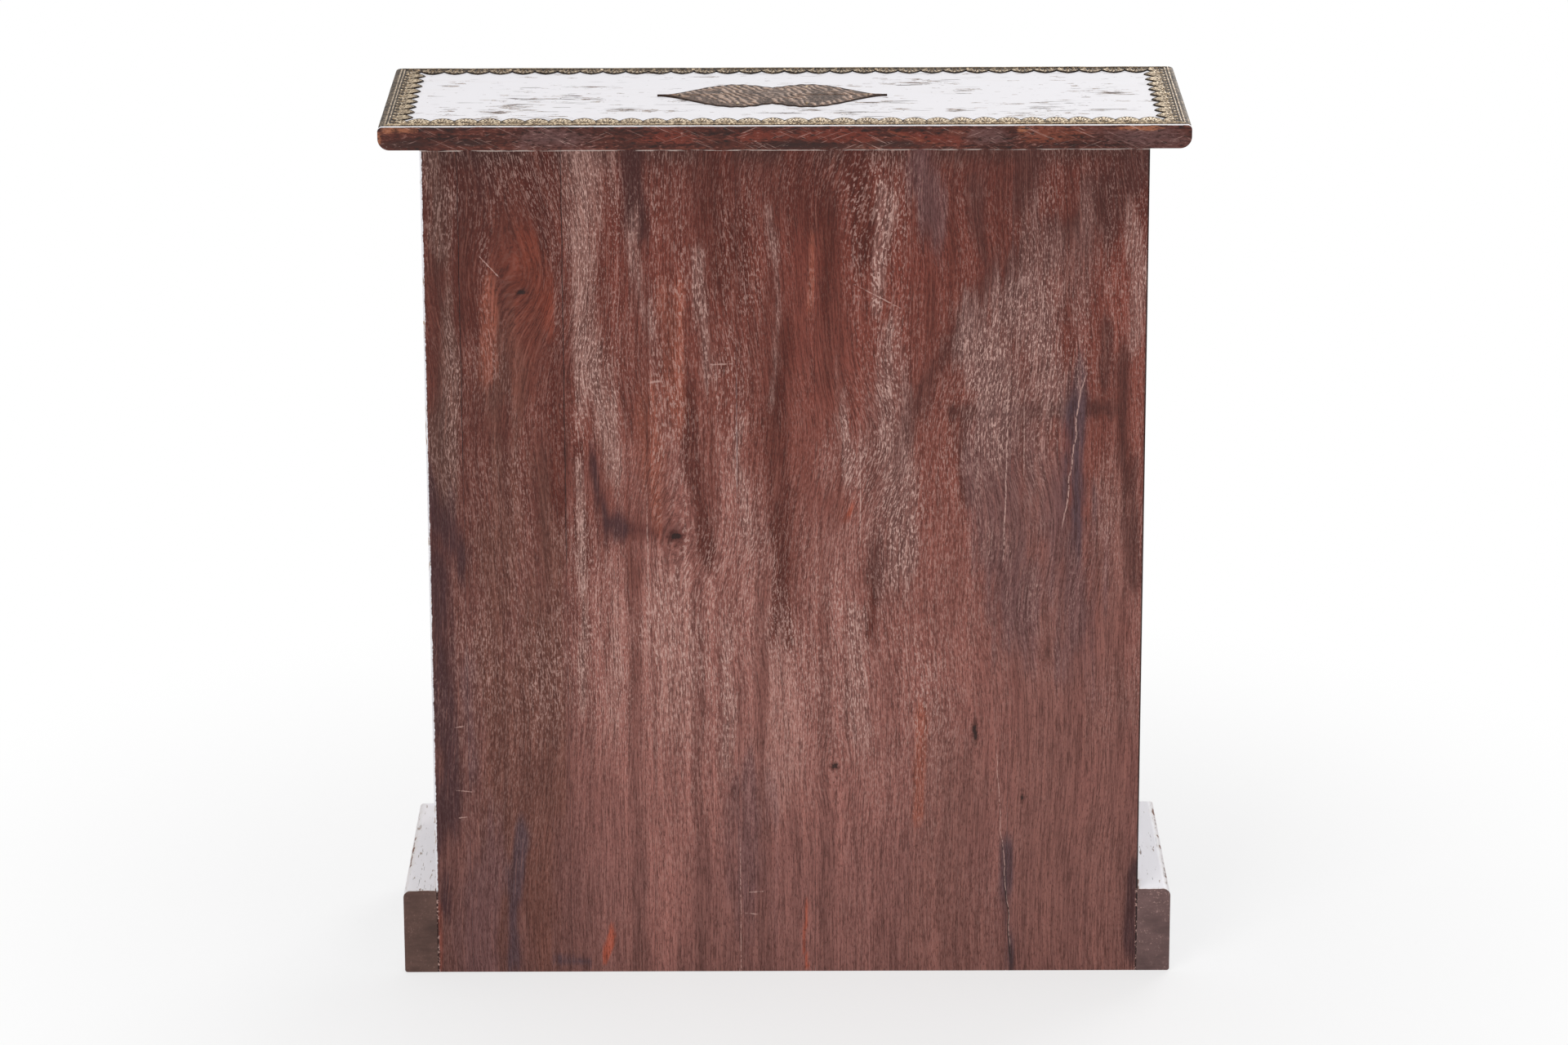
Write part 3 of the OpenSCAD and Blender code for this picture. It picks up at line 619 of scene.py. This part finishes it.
def lapped_paint(f, flat, x, z, colour):
    """The back's upright edges: white paint lapped round from the sides, dark rims, pale crumbs."""
    left, right = BACK_HIGH.x - x, x - BACK_LOW.x
    ragged_rim = f.swing(f.noise(flat, 0.004, 4, 0.7), 0.0012)
    above = f.rise(z, 0.098, 0.102)
    lapped = f.rise(left + ragged_rim, 0.0026, 0.0016) * above
    dark_rim = f.rise(f.smaller(left, right), 0.0024, 0.0012) * (1 - lapped)
    colour = f.blend(dark_rim * 0.85, colour, NEAR_BLACK)
    crumbs = f.rise(f.smaller(left, right), 0.0032, 0.0022) * f.rise(ragged_rim, 0.0001, 0.0004)
    colour = f.blend(crumbs * (1 - above) * 0.75, colour, STAIN_FLECK)
    side = f.larger(lapped, f.faces(PLUS_X), f.faces(MINUS_X))
    chips = f.streaks(flat, Z, 0.03, 0.003, 3, 0.6, 0.2, 9)
    lap = f.blend(f.rise(chips, 0.6, 0.63), WHITE_PAINT, CRACK_TAN)
    return f.blend(side, colour, f.blend(f.rise(chips, 0.66, 0.69), lap, CRACK_DARK))


def lines(f, x, z, wander, runs):
    """Thin upright lines: glue lines, cracks and hairlines."""
    found = []
    for x_foot, z_low, z_high, lean, half in runs:
        middle = x_foot + (z - z_low) * lean + wander * (0.004 + 0.12 * abs(lean))
        line = f.rise(f.maths("ABSOLUTE", x - middle), half * 1.6, half * 0.5)
        ends = f.rise(z, z_low - 0.01, z_low + 0.01) * f.rise(z, z_high + 0.04, z_high - 0.04)
        found.append(line * ends)
    return f.larger(*found)


# How the planks are cut and set
PLANK_CELL = (0.0026, 0.0062)
GLUE_LINE = 0.00005
EASING = 0.0003
PLANK_STEPS = (0.00016, 0, 0.0001, 0.00004, 0, 0.00012, 0.00002, 0.00008)
# The stain from the floor up, whose darkening from 0.95 to 0.97 is painted shade under the top board, and
# how it pales or darkens across the back
STAIN_HEIGHTS = (0, 0.12, 0.35, 0.62, 0.85, 0.95, 0.97)
STAIN_AND_SHADE_BY_HEIGHT = (tint(135, 90, 83), tint(144, 95, 88), tint(153, 97, 88), tint(137, 75, 64),
                   tint(124, 60, 49), tint(106, 52, 43), tint(80, 44, 38))
STAIN_ACROSS = (-0.42, -0.36, -0.1, 0.05, 0.2, 0.26, 0.36, 0.42)
STAIN_BY_PLACE = (0.97, 1.03, 1, 0.97, 0.9, 0.78, 0.71, 0.68)
# Where the grain turns aside: (x, z, reach across, reach along, pull)
KNOT_TURNS = (
    (0.3, 0.822, 0.05, 0.075, 0.75), (0.124, 0.527, 0.04, 0.06, 0.75),
    (-0.055, 0.251, 0.022, 0.04, 0.6), (-0.215, 0.292, 0.01, 0.045, 0.6), (-0.1, 0.8, 0.06, 0.22, 0.45),
)
# Knots: the middle (x, z) and the reach in millimetres, and where the dark heart starts
KNOTS = (
    (294, 812, 16, 7, 0.62), (124, 527, 13, 9, 0.52), (-55, 251, 9, 11, 0.62), (-215, 292, 7, 28, 0.6),
    (-270, 213, 6, 28, 0.8),
)
# Glue lines and cracks: (x at the foot, lowest z, highest z, lean, half width)
DARK_LINES = (
    (0.248, 0.5, 0.97, 0, 0.0005), (-0.259, -0.02, 0.01, 0, 0.0022),
    (-0.259, 0, 0.13, 0.07, 0.0011), (0.363, 0.6, 0.97, 0, 0.0004),
)
PALE_LINES = (
    (-0.2575, 0.03, 0.28, 0.074, 0.0004), (0.0532, -0.02, 0.16, 0, 0.0004),
    (-0.246, 0.5, 0.7, -0.02, 0.0007), (-0.268, 0.6, 0.675, 0, 0.0005),
    (-0.313, 0.54, 0.72, -0.12, 0.0007), (-0.084, 0.52, 0.64, 0, 0.0006),
    (0.155, 0.4, 0.56, 0.01, 0.0006),
)
# Stain and wear along the grain: colour, strength, how much more rubbed it is, whether each run stays
# on one board, and the runs, each from (x, z) to (x, z) with its reach, in millimetres
STAIN_RUNS = (
    # broad pale wear in the lower middle
    ((158, 104, 95), 0.7, 0.18, False, (
        (140, 500, 130, 260, 75), (45, 520, 30, 260, 60), (-60, 480, -60, 300, 60),
        (190, 440, 190, 300, 40))),
    ((172, 122, 112), 0.6, 0.25, False, (
        (138, 450, 126, 350, 26), (20, 440, 0, 270, 26), (200, 460, 200, 300, 8))),
    # plain brown columns at the left, smooth brown at the right
    ((108, 67, 57), 0.85, -0.22, False, (
        (340, 500, 330, 50, 40), (290, 420, 285, 80, 40), (325, 720, 325, 520, 34),
        (280, 600, 275, 500, 26))),
    ((136, 90, 82), 0.8, -0.2, False, (
        (-300, 440, -300, 100, 90), (-370, 500, -370, 50, 50), (-200, 160, -180, 40, 60))),
    # grey-brown margin at the left
    ((100, 72, 64), 0.75, 0.15, True, ((384, 970, 384, 580, 20),)),
    # deep red columns
    ((86, 34, 25), 0.85, -0.15, False, (
        (276, 980, 272, 860, 26), (262, 740, 262, 580, 14), (-15, 980, -20, 915, 36),
        (-36, 910, -46, 720, 20), (12, 730, 8, 480, 32), (80, 960, 74, 900, 40),
        (110, 700, 100, 520, 12), (240, 620, 236, 500, 10), (-100, 500, -100, 420, 12),
        (355, 900, 352, 780, 12), (-75, 960, -80, 860, 14), (-150, 960, -155, 900, 22))),
    # dark maroon by the seam, and under the top
    ((66, 34, 34), 0.85, -0.35, False, (
        (172, 980, 168, 905, 18), (163, 930, 156, 880, 10), (345, 970, 340, 930, 22))),
    # dark lines that lean across the right, round the pale wear
    ((76, 42, 38), 0.75, -0.3, False, (
        (-236, 838, -156, 693, 17), (-156, 693, -134, 610, 10), (-395, 948, -329, 893, 19),
        (-329, 893, -250, 836, 15), (-214, 920, -226, 850, 16), (-270, 970, -262, 920, 20),
        (-190, 672, -385, 676, 5.2), (-356, 762, -358, 712, 9), (-378, 720, -386, 630, 13),
        (-392, 600, -396, 480, 12), (-200, 640, -206, 590, 10))),
    # mauve and blue-grey
    ((110, 77, 77), 0.75, -0.05, False, (
        (-245, 640, -260, 490, 42), (-315, 560, -335, 450, 36), (-150, 945, -170, 880, 20),
        (350, 90, 345, 30, 36), (40, 170, 36, 120, 34), (370, 360, 366, 260, 14))),
    ((78, 62, 70), 0.85, -0.25, False, (
        (-326, 670, -334, 560, 21), (306, 150, 312, 20, 13), (-249, 140, -256, 20, 11),
        (268, 16, 230, 12, 4))),
    # pale, greyish wear beside the seam and across the boards
    ((148, 108, 99), 0.75, 0.55, True, (
        (226, 960, 226, 740, 30), (212, 740, 194, 620, 22), (238, 600, 236, 330, 7))),
    ((148, 106, 98), 0.7, 0.5, False, (
        (22, 900, 16, 690, 9), (-56, 740, -70, 600, 10), (-118, 760, -126, 480, 12),
        (-145, 600, -140, 500, 12), (-386, 900, -391, 760, 10), (168, 870, 150, 770, 13),
        (96, 840, 88, 720, 13), (-104, 900, -98, 810, 11), (52, 640, 50, 540, 10),
        (-80, 420, -82, 300, 12), (78, 400, 74, 270, 10))),
    ((138, 103, 97), 0.65, 0.35, False, (
        (-205, 760, -250, 715, 26), (-235, 790, -290, 760, 20), (-290, 715, -310, 695, 18),
        (-225, 690, -240, 650, 14))),
    ((122, 84, 78), 0.6, 0.1, False, (
        (-250, 760, -270, 660, 60), (-330, 860, -300, 800, 30), (-120, 640, -120, 520, 40))),
    # the orange glow beside the knot, and warm salmon columns
    ((136, 60, 42), 0.85, -0.25, True, ((288, 846, 272, 790, 15),)),
    ((112, 50, 38), 0.8, -0.25, False, ((292, 790, 286, 760, 14), (318, 860, 306, 832, 7))),
    ((116, 62, 49), 0.4, -0.55, False, ((310, 870, 290, 770, 34),)),
    ((92, 46, 42), 0.8, -0.3, False, ((180, 536, 128, 531, 8),)),
    ((150, 78, 62), 0.7, -0.3, False, ((400.5, 75, 400.5, 10, 4.5),)),
    ((158, 87, 69), 0.75, 0.1, False, (
        (150, 670, 146, 550, 17), (128, 780, 122, 700, 18), (-150, 300, -150, 200, 8),
        (336, 800, 336, 720, 12), (-20, 860, -18, 800, 8))),
    # purple-black: the arch by the low knot, the left margin, the corners
    ((66, 42, 46), 0.9, -0.4, False, (
        (216, 604, 206, 545, 15), (206, 545, 178, 536, 10), (404, 566, 372, 500, 20),
        (400, 500, 398, 200, 26), (-396, 110, -396, 40, 11), (392, 120, 392, 90, 10))),
    # bare orange nicks
    ((166, 80, 58), 0.9, -0.5, False, (
        (214, 20, 205, 46, 3.2), (-28.7, 85, -28.7, 6, 1.4), (-79, 562, -71, 545, 2.8))),
)
# Pale scratches: the middle (x, z) and the reach in millimetres, and the tilt in degrees
SCRATCHES = (
    (37, 98, 13, 1.4, 4), (39, 71, 11, 1.2, -6), (372, 300, 12, 1.2, 8), (368, 222, 14, 1.2, -5),
    (372, 190, 10, 1.2, 6), (75, 728, 22, 1.6, 3), (-105, 805, 45, 1.2, -28), (145, 708, 12, 2.2, 8),
    (330, 842, 30, 1.2, -48), (-225, 745, 18, 1, 52),
)


# Brass: how metallic and how spotted, its relief's strength, its roughness where dull and where bright
PRESSED = (0.8, 0.5, 0.7, 0.62, 0.38)
TURNED = (0.95, 0.12, 0.15, 0.42, 0.2)


def antique_brass(name, light, mid, dark, surface=PRESSED):
    """Pressed sheet, tarnished in the hollows and bright where it stands up, with painted shade and
    highlight on the strips, or turned brass.
    """
    metallic, spotting, texture, dull, bright = surface
    f = Finish(name, 0.38, metallic)
    stain = f.noise(f.place, 0.011, 4, 0.65)
    spots = f.noise(f.place, 0.0024, 2, 0.6, 0.8)
    # the pressed tone holds tarnish, and on the strips also painted shade and highlight
    level = f.attribute("tone") if surface is PRESSED else 0.58
    level = level + f.swing(stain, 0.26) + f.swing(spots, spotting)
    colour = f.ramp(level, ((0.05, dark), (0.5, mid), (0.95, light)))
    f.relief(stain * 0.3 + spots * 0.7, 0.0003, texture)
    return f.done(colour, f.blend(f.rise(level, 0.1, 0.8), (dull,) * 3, (bright,) * 3))


def plain_steel():
    f = Finish("screw steel", 0.4, 1)
    return f.done(f.blend(f.noise(f.place, 0.004, 3), STEEL, shaded(STEEL, 0.7)))


def petal_height(offset, half_span, rise):
    """Height of a petal's edge at an offset from its middle: two arcs that meet in a point."""
    chord = math.hypot(half_span, rise)
    sag = PETAL_BOW * chord
    radius = chord * chord / (8 * sag) + sag / 2
    back = (radius - sag) / chord
    c_x = half_span / 2 - rise * back
    c_y = rise / 2 - half_span * back
    inside = radius ** 2 - (np.abs(offset) - c_x) ** 2
    return np.maximum(np.sqrt(np.maximum(inside, 0)) + c_y, 0)


def bump_line(value, middle, half):
    return np.exp(-((value - middle) / half) ** 2)


def petal_pressing(x, s, edge, pitch, width, lobe):
    """Height of the pressing and brightness of the metal, with painted shade and highlight, x along one
    petal and s in from the edge.
    """
    unit = width / 32
    x, s, edge, pitch, root = x / unit, s / unit, edge / unit, pitch / unit, (width - lobe) / unit
    inward = edge - s
    ridges = bump_line(s, 2.5, 0.8) + bump_line(s, 6, 0.8)
    bead = np.sqrt(np.maximum(1 - ((np.abs(x) - pitch / 4) ** 2 + (s - 9.6) ** 2) / 1.8 ** 2, 0))
    radius = np.hypot(x, s - 14.6)
    boss = np.clip((4.6 - radius) / 0.5, 0, 1) * (0.55 + 0.45 * np.cos(radius * 2 * math.pi / 2.4))
    slant = np.clip((radius - 4.8) / 0.6, 0, 1) * (s > 11.4) * np.clip((inward - 2) / 0.8, 0, 1)
    leaves = slant * (0.5 + 0.5 * np.cos((np.arctan2(x, s - 12)) * 19 + 1.2 * np.sin(s * 1.3))) ** 1.4
    rim = bump_line(inward, 1, 0.75) * (s > 15)
    line = bump_line(inward, 2.7, 0.45) * (s > 18)
    height = np.maximum.reduce([0.9 * ridges, bead, 0.9 * boss, 0.7 * leaves, 0.9 * rim, 0.6 * line])
    swell = np.clip((s - root) / 6, 0, 1) * np.clip(inward / 4, 0, 1)
    height = height * 0.8 + 0.35 * swell
    # painted shade on the petals' tips
    tip = np.clip((s - 22.5) / 5, 0, 1)
    outline = bump_line(inward, 0.4, 1.5) * (s > 13)
    # painted shade between the petals
    shade_between = bump_line(np.abs(x), pitch / 2, 1.6) * np.clip((s - 11) / 2, 0, 1)
    # the raised parts are brighter, partly as painted highlight
    tone = 0.26 + 0.5 * ridges + 0.7 * bead + 0.55 * boss + 1.05 * leaves + 0.45 * line
    tone = tone - 0.9 * outline - 0.55 * shade_between - 0.25 * tip
    for groove, half, share in ((4.25, 0.8, 0.45), (7.8, 0.7, 0.4), (12, 0.9, 0.4)):
        tone = tone - share * bump_line(s, groove, half)
    return height, np.clip(tone, 0, 1)


def grid(name, columns, rows, size):
    """A flat square grid and its points, which are then set out and pressed."""
    bpy.ops.mesh.primitive_grid_add(x_subdivisions=columns, y_subdivisions=rows, size=size)
    piece = bpy.context.object
    piece.name = name
    return piece, read_points(piece)


def keep(piece, name, values, kind="FLOAT", key="value"):
    """Keeps values on a piece's points, for its material."""
    layer = piece.data.attributes.new(name, kind, "POINT")
    layer.data.foreach_set(key, values.astype(np.float32).ravel())


def read_points(piece):
    co = np.empty(len(piece.data.vertices) * 3)
    piece.data.vertices.foreach_get("co", co)
    return co.reshape(-1, 3)


def write_points(piece, co):
    piece.data.vertices.foreach_set("co", co.ravel())
    piece.data.update()


def close_underside(depth):
    """Turns a pressed sheet into a closed shell with a flat underside at z = depth."""
    bpy.ops.object.mode_set(mode="EDIT")
    bpy.ops.mesh.select_all(action="DESELECT")
    bpy.ops.mesh.select_mode(type="EDGE")
    bpy.ops.mesh.select_non_manifold(extend=False, use_wire=False, use_boundary=True,
                                     use_multi_face=False, use_non_contiguous=False, use_verts=False)
    bpy.ops.mesh.extrude_edges_move()
    bpy.ops.transform.resize(value=(1, 1, 0), orient_type="GLOBAL", center_override=(0, 0, depth))
    bpy.ops.mesh.edge_face_add()
    bpy.ops.mesh.select_all(action="SELECT")
    bpy.ops.mesh.delete_loose()
    bpy.ops.mesh.select_all(action="SELECT")
    bpy.ops.mesh.normals_make_consistent(inside=False)
    bpy.ops.object.mode_set(mode="OBJECT")


def petal_strip(name, length, width, lobe, pitch, columns, rows, wraps, seed, painted_shade=0):
    """A pressed strip along +x with its outer edge on y = 0, mitred at both ends."""
    count = max(1, round(length / pitch))
    step = length / count
    wrap = NOSE_R * WRAP if wraps else 0
    strip, co = grid(name, columns, rows, 1)
    x = co[:, 0] * step
    edge = width - lobe + np.maximum(VALLEY, petal_height(x, step / 2, lobe))
    s = -wrap + (co[:, 1] + 0.5) * (edge + wrap)
    height, tone = petal_pressing(x, s, edge, step, width, lobe)
    # painted_shade darkens the whole strip's metal: painted shade set by the strip's side
    keep(strip, "tone", np.clip(tone - painted_shade, 0, 1))
    write_points(strip, np.stack([x + step / 2, s, SHEET + EMBOSS * (width / STRIP_W) * height], 1))
    row = strip.modifiers.new("petals", "ARRAY")
    row.count = count
    row.use_relative_offset = False
    row.use_constant_offset = True
    row.constant_offset_displace = (step, 0, 0)
    row.use_merge_vertices = True
    row.merge_threshold = MERGE_GAP
    bpy.ops.object.modifier_apply(modifier="petals")
    bpy.ops.object.mode_set(mode="EDIT")
    slope = math.sqrt(0.5)
    for x_end, side in ((MITRE_GAP * slope, 1), (length - MITRE_GAP * slope, -1)):
        bpy.ops.mesh.select_all(action="SELECT")
        bpy.ops.mesh.bisect(plane_co=(x_end, 0, 0), plane_no=(side * slope, -slope, 0), clear_inner=True)
    bpy.ops.mesh.select_all(action="SELECT")
    bpy.ops.mesh.dissolve_degenerate(threshold=SLIVER)
    bpy.ops.mesh.delete_loose()
    bpy.ops.object.mode_set(mode="OBJECT")
    # hand-nailed: the sheet waves a little along its length
    co = read_points(strip)
    lift = field(co[:, 0] + seed, co[:, 1], 0.035, 0.05, 2, 40)
    drift = field(co[:, 0] + seed, 0 * co[:, 0], 0.06, 1, 2, 41)
    co[:, 1] += 0.0003 * drift * (co[:, 1] > 0.006)
    co[:, 2] *= 1 + 0.15 * lift
    write_points(strip, co)
    close_underside(0)
    if wraps:
        co = read_points(strip)
        angle = np.maximum(-co[:, 1], 0) / NOSE_R
        radius = NOSE_R + co[:, 2]
        folded = co[:, 1] < 0
        co[folded, 1] = (-radius * np.sin(angle))[folded]
        co[folded, 2] = (radius * np.cos(angle) - NOSE_R)[folded]
        write_points(strip, co)
    return strip


def lay(piece, corner, along, inward):
    """Puts a flat piece's +x along one direction and its +y along another, from a corner."""
    along, inward = Vector(along), Vector(inward)
    turn = Matrix((along, inward, along.cross(inward))).transposed().to_4x4()
    piece.data.transform(Matrix.Translation(corner) @ turn)
    piece.data.update()


def joined(pieces, name):
    """One piece made of several, under a new name."""
    select(*pieces)
    bpy.ops.object.join()
    pieces[0].name = name
    return pieces[0]


def dress(piece, material, angle=None):
    """Gives a piece its material. With an angle in degrees, it also smooths the flatter edges."""
    piece.data.materials.clear()
    piece.data.materials.append(material)
    if angle is None:
        return
    select(piece)
    bpy.ops.object.shade_smooth_by_angle(angle=math.radians(angle))


def finish_brass(piece, material, body, node):
    dress(piece, material, 40)
    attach(piece, body)
    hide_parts(node)


def top_strips(material):
    """The four strips round the top. Only the rear one keeps clear of its edge."""
    low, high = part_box("top_board")
    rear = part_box("top_strip_back")[1].y
    left, right = low.x + NOSE_R, high.x - NOSE_R
    front = low.y + NOSE_R
    top = high.z
    # the last value of each strip is painted shade on its brass, most on the front strip and least on the
    # rear one
    plan = (
        ("back", (right, rear, top), (-1, 0, 0), (0, -1, 0), right - left, False, 0.02),
        ("front", (left, front, top), (1, 0, 0), (0, 1, 0), right - left, True, 0.3),
        ("left", (left, rear, top), (0, -1, 0), (1, 0, 0), rear - front, True, 0.12),
        ("right", (right, front, top), (0, 1, 0), (-1, 0, 0), rear - front, True, 0.1),
    )
    for i, (side, corner, along, inward, length, wraps, painted_shade) in enumerate(plan):
        strip = petal_strip(f"pressed_strip_{side}", length, STRIP_W, STRIP_LOBE, STRIP_PITCH,
                            36, 58, wraps, 11 * i, painted_shade)
        lay(strip, corner, along, inward)
        finish_brass(strip, material, "carcass", f"top_strip_{side}")


def medallion_half_width(t):
    """Half width of the medallion, t from 0 in the middle to 1 at a tip."""
    lobe = np.where(t < CREST, WAIST + (1 - WAIST) * np.sin(np.pi / 2 * np.minimum(t / CREST, 1)),
                    (np.maximum(0, 1 + np.cos(np.pi * (t - CREST) / (1 - CREST))) / 2) ** TAPER)
    return MEDALLION_W * np.maximum(lobe * (1 + 0.03 * np.sin(2 * np.pi * 9 * t) * (1 - t)), 0.01)


def leaf_pressing(x, y, half):
    """Height of the pressing and brightness of the metal on the medallion's two leaves."""
    t, away, aside = np.abs(x) / MEDALLION_L, np.abs(x), np.abs(y)
    wander = field(x, y, 0.03, 0.018, 3, 50)
    breaks = field(x, y, 0.014, 0.022, 2, 51)
    inside = half - aside
    midrib = bump_line(y + 0.0012 * wander, 0, 0.0013) * smooth(t, 0.08, 0.16)
    groove = bump_line(np.abs(y + 0.0012 * wander), 0.0034, 0.001) * smooth(t, 0.08, 0.16)
    groove = groove * (half > 0.006)
    slant = x + 0.45 * y + 0.0035 * wander + 0.003 * field(x, y, 0.012, 0.012, 2, 52)
    strokes = (0.5 + 0.5 * np.cos(2 * np.pi * slant / 0.0092)) ** 1.4 * smooth(breaks, -0.9, 0.3)
    cross = 0.5 + 0.5 * np.cos(2 * np.pi * (0.75 * away + 0.7 * aside + 0.003 * breaks) / 0.0044)
    middle = np.exp(-(x / 0.011) ** 2 - (y / 0.016) ** 2)
    boss = 0.42 + 0.25 * np.cos(np.hypot(x, y) * 2 * np.pi / 0.01)
    chased = (0.88 * strokes + 0.12 * cross) * smooth(inside, 0.0022, 0.0045)
    chased = chased * (1 - middle) + boss * middle
    rim = bump_line(inside, 0.0014, 0.0008) * (half > 0.004)
    height = np.maximum.reduce([0.8 * rim, 0.9 * midrib, chased])
    edge = bump_line(inside, 0, 0.0012) + 0.8 * bump_line(inside, 0.0029, 0.0007) * (half > 0.006)
    tone = 0.17 + 0.95 * chased + 0.2 * midrib - 0.25 * groove + 0.1 * wander - 0.45 * edge
    return height, np.clip(tone - 0.2 * smooth(t, 0.72, 1), 0, 1)


def medallion(material):
    """Two leaves joined at their stems, pressed with slanting veins."""
    piece, co = grid("pressed_medallion", 300, 120, 2)
    t, v = co[:, 0], co[:, 1]
    half = medallion_half_width(np.abs(t))
    x, y = t * MEDALLION_L, v * half
    height, tone = leaf_pressing(x, y, half)
    keep(piece, "tone", tone)
    write_points(piece, np.stack([x, y, SHEET + 0.001 * (1 - v ** 2) + 0.0009 * height], 1))
    close_underside(0)
    lay(piece, (MEDALLION_X, 0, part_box("top_board")[1].z), (1, 0, 0), (0, 1, 0))
    finish_brass(piece, material, "carcass", "top_medallion")


def drawer_frames(material):
    """A mitred frame of four narrow strips on each drawer front."""
    for drawer in DRAWERS:
        low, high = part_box(f"drawer_{drawer}_border")
        wide, tall, face = high.x - low.x, high.z - low.z, high.y
        sides = (
            ((low.x, face, low.z), (1, 0, 0), (0, 0, 1), wide),
            ((high.x, face, low.z), (0, 0, 1), (-1, 0, 0), tall),
            ((high.x, face, high.z), (-1, 0, 0), (0, 0, -1), wide),
            ((low.x, face, high.z), (0, 0, -1), (1, 0, 0), tall),
        )
        strips = []
        for i, (corner, along, inward, length) in enumerate(sides):
            strip = petal_strip(f"drawer_{drawer}_strip_{i}", length, BORDER_W, BORDER_LOBE, BORDER_PITCH,
                                18, 22, False, 3 * drawer + i)
            lay(strip, corner, along, inward)
            strips.append(strip)
        whole = joined(strips, f"pressed_frame_{drawer}")
        finish_brass(whole, material, f"drawer_{drawer}", f"drawer_{drawer}_border")


def paint_boards():
    """Each white board gets its own grain, wear and unpainted faces."""
    boards = [
        ("top_board", X, (REAR,), rear_edge, 1.3),
        ("side_panel_left", Z, (PLUS_X, REAR), None, 1),
        ("side_panel_right", Z, (MINUS_X, REAR), None, 1),
        ("plinth_front", X, (REAR, UNDER), None, 1),
        ("plinth_left", Y, (REAR, PLUS_X, UNDER), plinth_end(MAUVE_END, 0.55), 0.6),
        ("plinth_right", Y, (REAR, MINUS_X, UNDER), plinth_end(OLIVE_END, 0.15), 2.6),
        ("muntin", Z, (REAR,), None, 1),
    ]
    fronts = [f"drawer_{drawer}_front" for drawer in DRAWERS]
    for node in ("top_rail", "drawer_rail_1", "drawer_rail_2", "drawer_rail_3", "bottom_rail", *fronts):
        boards.append((node, X, (REAR,), None, 1))
    for i, (node, grain, bare, end, wear) in enumerate(boards):
        cracks = TOP_CRACKS if node == "top_board" else CRACKS
        dress(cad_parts[node], painted_board(node, grain, bare, 1.3 * i, wear, end, *cracks))


def bare_boards():
    along = {X: ["drawer_stops", "bottom_panel", "glue_blocks"], Y: ["runners", "partition"]}
    for drawer in DRAWERS:
        along[X] += [f"drawer_{drawer}_back", f"drawer_{drawer}_base"]
        along[Y] += [f"drawer_{drawer}_side_left", f"drawer_{drawer}_side_right"]
    for axis, nodes in along.items():
        for i, node in enumerate(nodes):
            dress(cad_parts[node], raw_board(f"bare wood {node}", axis, 2.1 * i + axis))


def dress_small_parts():
    cast = antique_brass("turned brass", BRASS_LIGHT, BRASS, TARNISH, TURNED)
    for node in ["brass_pins"] + [f"drawer_{drawer}_knobs" for drawer in DRAWERS]:
        dress(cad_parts[node], cast)
    dress(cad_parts["top_screws"], plain_steel())


FLOOR = 0.9
# The floor's share of pure white, as the camera sees it, near the object and away from it
FLOOR_LIFT = (0.6, 1)
FLOOR_REACH = (0.4, 1.3)
AMBIENT = 0.48
LAMPS = (
    ("rear softbox", (2.4, 4.4, 3), 2.6, 95),
    ("front softbox", (-2.4, -4.4, 3), 2.6, 95),
    ("overhead softbox", (0, 0.4, 4.2), 3, 34),
)


def studio():
    """White floor and background, with soft light from all round."""
    bpy.ops.mesh.primitive_plane_add(size=40)
    floor = bpy.context.object
    floor.name = "studio_floor"
    f = Finish("pale floor", 0.9, specular=0)
    f.done((FLOOR,) * 3)
    near, far = FLOOR_LIFT
    away = f.rise(f.vectors("LENGTH", f.place, {}, "Value"), *FLOOR_REACH)
    lifted = f.new("MixShader")
    f.fill(lifted, {
        0: (near + away * (far - near)) * f.seen(),
        1: f.fill(f.shader, {}),
        2: f.fill(f.new("Emission"), {}),
    })
    f.feed(f.tree.nodes["Material Output"].inputs["Surface"], f.fill(lifted, {}))
    floor.data.materials.append(f.material)
    world = bpy.data.worlds.new("studio")
    bpy.context.scene.world = world
    world.use_nodes = True
    g = Graph(world.node_tree)
    strength = AMBIENT + g.seen() * (1 - AMBIENT)
    g.fill(g.tree.nodes["Background"], {"Color": (1, 1, 1), "Strength": strength})
    for name, place, size, power in LAMPS:
        lamp = bpy.data.lights.new(name, "AREA")
        lamp.size = size
        lamp.energy = power
        holder = put(name, lamp)
        holder.location = place
        aim = Vector((0, 0, 0.5)) - Vector(place)
        holder.rotation_euler = aim.to_track_quat("-Z", "Y").to_euler()


def put(name, data):
    holder = bpy.data.objects.new(name, data)
    bpy.context.scene.collection.objects.link(holder)
    return holder


def photo_camera():
    lens = bpy.data.cameras.new("photo camera")
    lens.sensor_width = SENSOR
    lens.lens = FOCAL / PHOTO_WIDTH * SENSOR
    lens.clip_end = 100
    camera = put("photo camera", lens)
    aim = Matrix.Rotation(math.pi + YAW, 4, "Z") @ Matrix.Rotation(math.pi / 2 - PITCH, 4, "X")
    camera.matrix_world = Matrix.Translation(EYE) @ aim @ Matrix.Rotation(ROLL, 4, "Z")
    bpy.context.scene.camera = camera


photo_camera()
studio()
paint_boards()
bare_boards()
back_planks(stained_back())
dress_small_parts()
strip_brass = antique_brass("pressed brass", BRASS_LIGHT, BRASS, TARNISH)
leaf_brass = antique_brass("pressed copper brass", LEAF_LIGHT, LEAF_COPPER, LEAF_DARK)
top_strips(strip_brass)
medallion(leaf_brass)
drawer_frames(strip_brass)
bpy.context.scene.view_settings.view_transform = "Standard"
